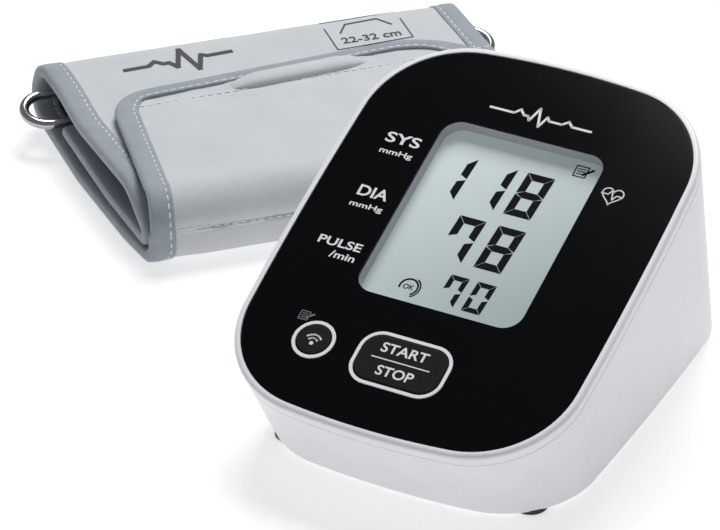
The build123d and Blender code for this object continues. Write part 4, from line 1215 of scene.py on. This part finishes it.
def sheet_area():
    """Flat area of the flap with its crease, in square millimetres."""
    total = crease_length * CUFF_WIDTH
    loop = [(t, s) for t, s, _ in flap_outline]
    for (a, b), (c, d) in zip(loop, loop[1:] + loop[:1]):
        total += (c * b - a * d) / 2
    return min(total, CUFF_WIDTH * (crease_length + FLAP_REACH))


# -------- cuff: finger ridge, hook tape, ring sleeve
def add_ridge(looks):
    """Padded fold that the fingers hold to pull the flap open: crowned, and pinched flat at its ends."""
    (a, b), (c, d) = RIDGE_ENDS
    run = Vector((c - a, d - b))
    length = run.length + 2 * RIDGE_HALF
    run.normalize()
    side = Vector((-run.y, run.x))
    base = FLAP_MIDDLE + FLAP_LAYER / 2 - 0.35
    work = bmesh.new()
    rings = []
    for k in range(RIDGE_STEPS + 1):
        share = k / RIDGE_STEPS
        reach = length * share - RIDGE_HALF
        blunt = min(share, 1 - share) * length
        size = math.sin(math.pi / 2 * min(1.0, blunt / RIDGE_TAPER)) ** 0.8 * 0.97 + 0.03
        size *= 1 + 0.05 * waver(reach * 0.16, 0.0, 21.0)
        ring = []
        for step in range(RIDGE_SIDES):
            angle = math.pi * step / (RIDGE_SIDES - 1)
            q = RIDGE_HALF * math.cos(angle) * (0.35 + 0.65 * size)
            fold = 0.22 * waver(reach * 0.5, q * 0.25, 31.0) * (1 - ramp_between(blunt, 3, 14))
            rise = (RIDGE_HEIGHT * size + fold) * math.sin(angle) ** 0.62
            place = Vector((a, b)) + run * reach + side * q
            ring.append(work.verts.new(in_plan(place.x, place.y, base + rise)))
        rings.append(ring)
    add_tube(work, rings, lambda k, i: (k * length / RIDGE_STEPS * MM, i * RIDGE_SIDE_WIDTH * MM))
    ridge = new_piece("finger_ridge", finish_mesh(work, "finger_ridge"), looks["cloth"])
    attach(ridge, "cuff_flap")
    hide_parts("grip_ridge")


RING_WIRE = 3.2
SLEEVE_START = 4.0           # from the cuff's left edge
SLEEVE_WIDTH = 133.0
SLEEVE_COLUMNS = 46
SLEEVE_ROUND = 2.1           # radius of the sleeve's middle round the ring's bar


def add_sleeve(looks):
    """Cloth loop that holds the ring's near bar to the end of the innermost layer."""
    centre = box_centre_of_bar()
    bar_x = (centre - cuff_corner).dot(deep) / MM / math.cos(END_SKEW)
    bar_z = centre.z / MM
    line = [(64.0, 11.6), (68.0, 12.1), (73.0, 12.55)]
    for k in range(13):
        angle = math.radians(100 - 200 * k / 12)
        line.append((bar_x + SLEEVE_ROUND * math.cos(angle), bar_z + SLEEVE_ROUND * math.sin(angle)))
    line += [(73.0, 8.1), (66.0, 7.55)]
    across = [SLEEVE_START + SLEEVE_WIDTH * j / SLEEVE_COLUMNS for j in range(SLEEVE_COLUMNS + 1)]
    outside = []
    inside = []
    down = [0.0]
    for k, (x, z) in enumerate(line):
        before = line[max(0, k - 1)]
        after = line[min(len(line) - 1, k + 1)]
        heading = math.atan2(after[1] - before[1], after[0] - before[0])
        outward = end_line * -math.sin(heading) + up * math.cos(heading)
        if k:
            down.append(down[-1] + math.dist(before if k < len(line) - 1 else line[k - 1], (x, z)))
        row_out = []
        row_in = []
        for w in across:
            swell = 0.18 * waver(w * 0.08, k * 0.3, 41.0)
            spot = in_section(x, z, w)
            row_out.append(spot + outward * (0.35 + max(0.0, swell)) * MM)
            row_in.append(spot - outward * 0.3 * MM)
        outside.append(row_out)
        inside.append(row_in)
    sleeve = shell("ring_sleeve_cloth", outside, inside, (across, down), looks["lining"])
    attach(sleeve, "cuff")
    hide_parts("ring_sleeve")


def box_centre_of_bar():
    """Middle of the ring's near bar."""
    ring = nodes["cuff_ring"].data.vertices
    nearest = min((v.co - cuff_corner).dot(deep) for v in ring)
    near = [v.co for v in ring if (v.co - cuff_corner).dot(deep) < nearest + RING_WIRE * MM]
    low = min(co.z for co in near)
    high = max(co.z for co in near)
    middle = in_plan(CUFF_WIDTH / 2, nearest / MM + RING_WIRE / 2, 0)
    middle.z = (low + high) / 2
    return middle


# -------- cuff: marks printed on the top layer
TOP_LAYER_FLOOR = 15.0        # only the top layer is higher than this
CLOTH_PRINT_LIFT = 0.10
CLOTH_PRINT_DEPTH = 0.06
LONG_PRINT_EDGE = 1.5         # print edges longer than this are cut in three, to follow the cloth


def top_layer_place(t, s):
    """Where the top layer's cloth is over a plan point: its middle, its normal and its swell."""
    x = s / math.cos(END_SKEW)
    frames = strip_frames(SECTION_STEP)
    top = [station for station in frames if station[2] > TOP_LAYER_FLOOR]
    for (d0, x0, z0, n0), (d1, x1, z1, n1) in zip(top, top[1:]):
        if x1 <= x <= x0:
            share = (x0 - x) / (x0 - x1)
            distance = d0 + (d1 - d0) * share
            w = t + x * math.sin(END_SKEW)
            outward = n0.lerp(n1, share).normalized()
            return in_section(x, z0 + (z1 - z0) * share, w), outward, layer_lift(distance, w, COVER_SWELL)
    raise ValueError("no cloth there")


def print_on_cloth(name, mesh, material):
    """Bend a flat mark in plan millimetres, z 0 to 1, onto the top layer's cloth."""
    work = bmesh.new()
    work.from_mesh(mesh)
    bmesh.ops.triangulate(work, faces=work.faces)
    long_edges = [edge for edge in work.edges if edge.calc_length() > LONG_PRINT_EDGE]
    bmesh.ops.subdivide_edges(work, edges=long_edges, cuts=2)
    bmesh.ops.triangulate(work, faces=work.faces)
    for vertex in work.verts:
        spot, outward, lift = top_layer_place(vertex.co.x, vertex.co.y)
        rise = STRIP_HALF + lift + CLOTH_PRINT_LIFT + vertex.co.z * CLOTH_PRINT_DEPTH
        vertex.co = spot + outward * rise * MM
    piece = new_piece(name, finish_mesh(work, name), material, smooth=False)
    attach(piece, "cuff")


def flat_mark(outlines):
    """Mesh of outlines in plan millimetres, z 0 to 1."""
    work = bmesh.new()
    add_prisms(work, outlines, lambda x, y, z: (x, y, z), 1)
    return finish_mesh(work, "mark")


def add_cloth_marks(ink):
    pulse = [(16.0, 84.0), (24.0, 84.4), (26.5, 86.6), (29.0, 84.6), (31.0, 84.7), (33.0, 81.5),
             (36.0, 91.5), (39.5, 78.5), (42.0, 86.5), (44.0, 85.4), (52.0, 85.8)]
    print_on_cloth("cuff_mark_stand_in", flat_mark(stroke(pulse, 1.7)), ink)
    box = [(85.5, 77.0), (111.5, 78.0), (111.0, 95.0), (85.0, 94.0)]
    print_on_cloth("size_label_frame", flat_mark(stroke(box, 0.4, closed=True)), ink)
    print_on_cloth("size_label", lettering("size_label", "22-32 cm", (98.4, 81.8), (20.0, 3.6), 0.01), ink)
    arm = [(89.5, 86.6), (92.5, 91.4), (103.5, 91.9), (107.2, 87.4)]
    print_on_cloth("arm_sign", flat_mark(stroke(arm, 0.6)), ink)


# -------- build
def cuff_looks():
    return {
        "cloth": fabric("cuff_cloth", shade(200, 204, 207)),
        "lining": fabric("lining_tricot", shade(74, 79, 83), 0.0006, 0.00006, 0.14, 0.9, 0.35),
        "tape": ribbed_tape("edge_tape_cloth", shade(150, 157, 165)),
        "thread": plain("thread_grey", shade(226, 229, 232), 0.6),
    }


add_camera()
add_studio()
add_floor()
paint_nodes()
ink = plain("crystal_ink", shade(4, 5, 5), 0.7, Specular_IOR_Level=0.1)
white_print = plain("white_print", shade(228, 230, 232), 0.5)
grey_print = plain("grey_print", shade(104, 106, 110), 0.5)
add_display_signs(ink)
add_panel_print(white_print, grey_print)
add_button_print(white_print)
looks = cuff_looks()
add_strip(looks)
add_flap(looks)
add_ridge(looks)
add_sleeve(looks)
add_cloth_marks(plain("cloth_print", shade(58, 62, 65), 0.7))
